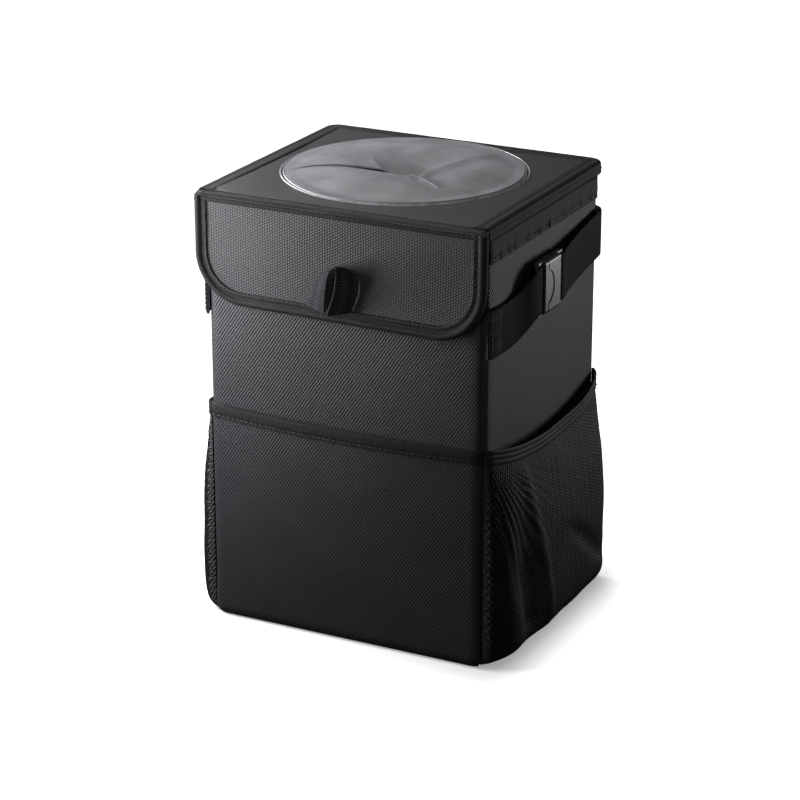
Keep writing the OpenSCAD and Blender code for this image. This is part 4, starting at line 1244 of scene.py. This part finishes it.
def makeFlapBinding():
    lengths = runLengths(flapProfile)
    last = len(flapProfile) - 1

    def place(u, v):
        edge, inward = flapEdge(u * flapWay)
        inset, off, _ = flapProfile[round(v * last)]
        rib = roll = ragged = 0
        if off > 3:
            turn = 2 * pi * (u * flapWay + 0.8 * inset) / flap["ribPitch"] + 4 * wobble((*edge, 0), 9, 3.0)
            rib = flap["rib"] * sin(turn) * band(inset - 7.4, 1.6) * (0.6 + 0.8 * wobble((*edge, 5), 14))
        if off > 1:
            roll = 0.3 * wobble((*edge, off), 16, 5.0)
        if inset > 9:
            ragged = 0.15 * wobble((*edge, 1), 7)
        return flapPoint(*(edge + inward * (inset - ragged)), off + rib + roll)

    piece = clothGrid("flapBinding", 620, last, place, lambda u, v: (u * flapWay, lengths[round(v * last)]),
                      mend=lambda bm: bmesh.ops.recalc_face_normals(bm, faces=bm.faces))
    finishPiece(piece, "binding_tape", "flap", ["flap_binding"], flap["tape"])


# Pull tab: a band sewn to the flap with both ends, folded over at the top, its legs side by side

pull = {"wide": 17.0, "thick": 1.5}
# Its middle line from the left foot over the top to the right foot, as x, distance off the flap's inner face
# and z, each with the direction of the webbing's width, from the edge at the flap to the one that stands out
pullStations = [
    ((-12.8, 7.8, 233), (0.934, -0.358, 0)), ((-11.0, 8.9, 242), (0.88, -0.47, 0.05)),
    ((-8.4, 9.8, 250.5), (0.8, -0.58, 0.12)), ((-5.2, 10.8, 257), (0.68, -0.7, 0.2)),
    ((-1.4, 11.6, 261.4), (0.56, -0.78, 0.27)), ((2.8, 12.0, 263.6), (0.38, -0.87, 0.3)),
    ((6.8, 12.2, 263.2), (0.14, -0.95, 0.28)), ((9.8, 12.2, 260), (-0.22, -0.95, 0.18)),
    ((11.0, 11.8, 255.4), (-0.5, -0.86, 0.08)), ((10.4, 11.3, 249), (-0.64, -0.77, 0)),
    ((8.2, 11.2, 241.5), (-0.66, -0.75, 0)), ((5.4, 11.1, 233.5), (-0.64, -0.77, 0)),
]


def makePullTab():
    path = [(x, flapPoint(x, z, off).y, z) for (x, off, z), _ in pullStations]
    across = [direction for _, direction in pullStations]
    ribbon("pullTab", path, pull["wide"], pull["thick"], ["pull_tab"], across, "flap",
           5, tabWeb)


# One finish for each material slot, and two more for the sewn tabs and the stitches
finishes = {
    "shell_fabric": coatedOxford(),
    "flap_fabric": dobbyFlapCloth(),
    "binding_tape": bindingTape(),
    "strap_webbing": webbing("strapWebbing", "#0d0d0e", "#141416", 0.025),
    "pocket_mesh": pocketMesh(),
    "elastic_band": ribbedElastic(),
    # Waterproof film: smooth grey plastic with soft creases, about 36 mm apart
    "liner_film": unwoven("linerFilm", "#9b9da2", 0.38, "#8f9197", "#a7a9ae", 0.3, (28, 4), 0.8, strength=0.5),
    # Plastic board with a foam face of 1.1 mm cells, hidden between the cloth and the liner
    "stiffener_board": unwoven("foamBoard", "#88888a", 0.7, "#7c7c7e", "#949496", 0.3, (900, 2), 0.1),
    # Pile of the hook and loop closure: a dense fuzz of tiny loops, 0.7 mm apart
    "hook_and_loop": unwoven("hookLoopPile", "#151517", 0.9, "#0d0d0e", "#262628", 0.35, (1500, 2), 0.4,
                             Sheen_Weight=0.4),
    # Soft moulded sheet of the leaves: satin grey with a cloudy bloom, 22 mm across, and a grain of 1.1 mm
    "leaf_rubber": unwoven("softRubber", "#7f7f83", 0.42, "#727276", "#919196", 0.3, (45, 5), 0.05, (900, 2)),
    # Moulded ring: pale glossy plastic with faint moulding waves, 4.5 mm across
    "ring_plastic": unwoven("glossyRing", "#8c8c90", 0.26, "#98989c", "#c2c2c6", 0.3, (220, 2), 0.06),
    # Buckle: black acetal with the polished faces and fine scuffs of a moulding, 6 mm apart
    "buckle_plastic": unwoven("mouldedAcetal", "#3e3e41", 0.34, "#3e3e42", "#4a4a4e", 0.35, (160, 2), 0.01),
}
tabWeb = webbing("tabWebbing", "#1b1b1d", "#3e3e42", 0.14)
# Bonded polyester thread: a little brighter than the cloth, with a twist of 0.6 mm
thread = unwoven("bondedThread", "#3c3c3f", 0.45, "#2c2c2f", "#4c4c50", 0.35, (1600, 2), 0.08)

addCamera()
addLamps()
addStage()
print("stage ready")
makeTubShell()
makeTubBase()
makeLiner()
makeRimBinding()
print("tub ready")
makeFrontPocket()
makePocketBinding()
makeMeshPocket("right")
makeMeshPocket("left")
makeElastic("right")
makeElastic("left")
print("pockets ready")
makeStraps()
makeTubStitches()
makePatch("loopPatch", "flap_loop_patch", -1, "tub")
print("straps and stitches ready")
makeLidBinding()
lidSheet("lidCover", lid["coverZ"], lid["puff"], False, "shell_fabric", "lid_cover", lid["cloth"])
lidSheet("lidLining", lid["liningZ"], lid["liningPuff"], True, "liner_film", "lid_lining", lid["film"])
makeLidFront()
makeLidHinge()
makeRing()
makeLeaves()
makeLidStitches()
print("lid ready")
makeFlapLayer("flapPanel", flap["panelOff"], False, "flap_fabric", "flap_panel", flap["cloth"])
makeFlapLayer("flapLining", 0, True, "liner_film", "flap_lining", flap["film"])
makeFlapBinding()
makePullTab()
makeFlapStitches()
makePatch("hookPatch", "flap_hook_patch", 1, "flap")
print("flap ready")

# The cloth pieces, with the size in mm that each was cut to
pocketWide = frontRightAt - frontLeftAt
meshSize = (meshUv["wide"], meshUv["high"])
sheets = [
    ("tubShell", (wholeWay, 294), "stretched", ["front_board", "right_board", "back_board", "left_board"]),
    ("tubBase", (184.6, 161.1), "stretched", ["base_board"]),
    ("tubLiner", (wholeWay, 330), "hung", ["rim_binding"]),
    ("rimBinding", (wholeWay, 28.4), "folded", ["tubShell"]),
    ("frontPocket", (pocketWide, 158), "laid", ["tubShell"]),
    ("pocketBinding", (pocketWide, 11.6), "folded", ["frontPocket"]),
    ("rightMeshPocket", meshSize, "gathered", ["tubShell", "rightElastic"]),
    ("leftMeshPocket", meshSize, "gathered", ["tubShell", "leftElastic"]),
    ("rightElastic", (176, 10), "stretched", ["rightMeshPocket"]),
    ("leftElastic", (176, 10), "stretched", ["leftMeshPocket"]),
    ("lidBinding", (lidWay, 31), "folded", ["lidCover"]),
    ("lidCover", (203, 179), "stretched", ["lid_board"]),
    ("lidLining", (203, 179), "stretched", ["lid_board"]),
    ("lidFrontRoll", (lidRoll["wide"], lidRoll["cut"]), "folded", ["lidCover", "flapPanel"]),
    ("lidHinge", (hinge["wide"], hinge["tall"]), "hung", ["rimBinding", "lidBinding"]),
    ("flapPanel", (204, 70), "hung", ["flap_board"]),
    ("flapLining", (204, 70), "hung", ["flap_board"]),
    ("flapBinding", (flapWay, 27), "folded", ["flapPanel"]),
]
for name, (wide, long), held, rests in sheets:
    area = wide * long * mm * mm
    if name in ("lidCover", "lidLining"):  # cut out round the opening
        area -= pi * (lid["holeR"] * mm) ** 2
    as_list(rests)

slotOf = {part["node"]: part["material_slot"] for part in frame["record"]["subparts"]}
for nodeName, nodeObject in frame["nodes"].items():
    nodeObject.data.materials.clear()
    nodeObject.data.materials.append(finishes[slotOf[nodeName]])
print("finishes ready")
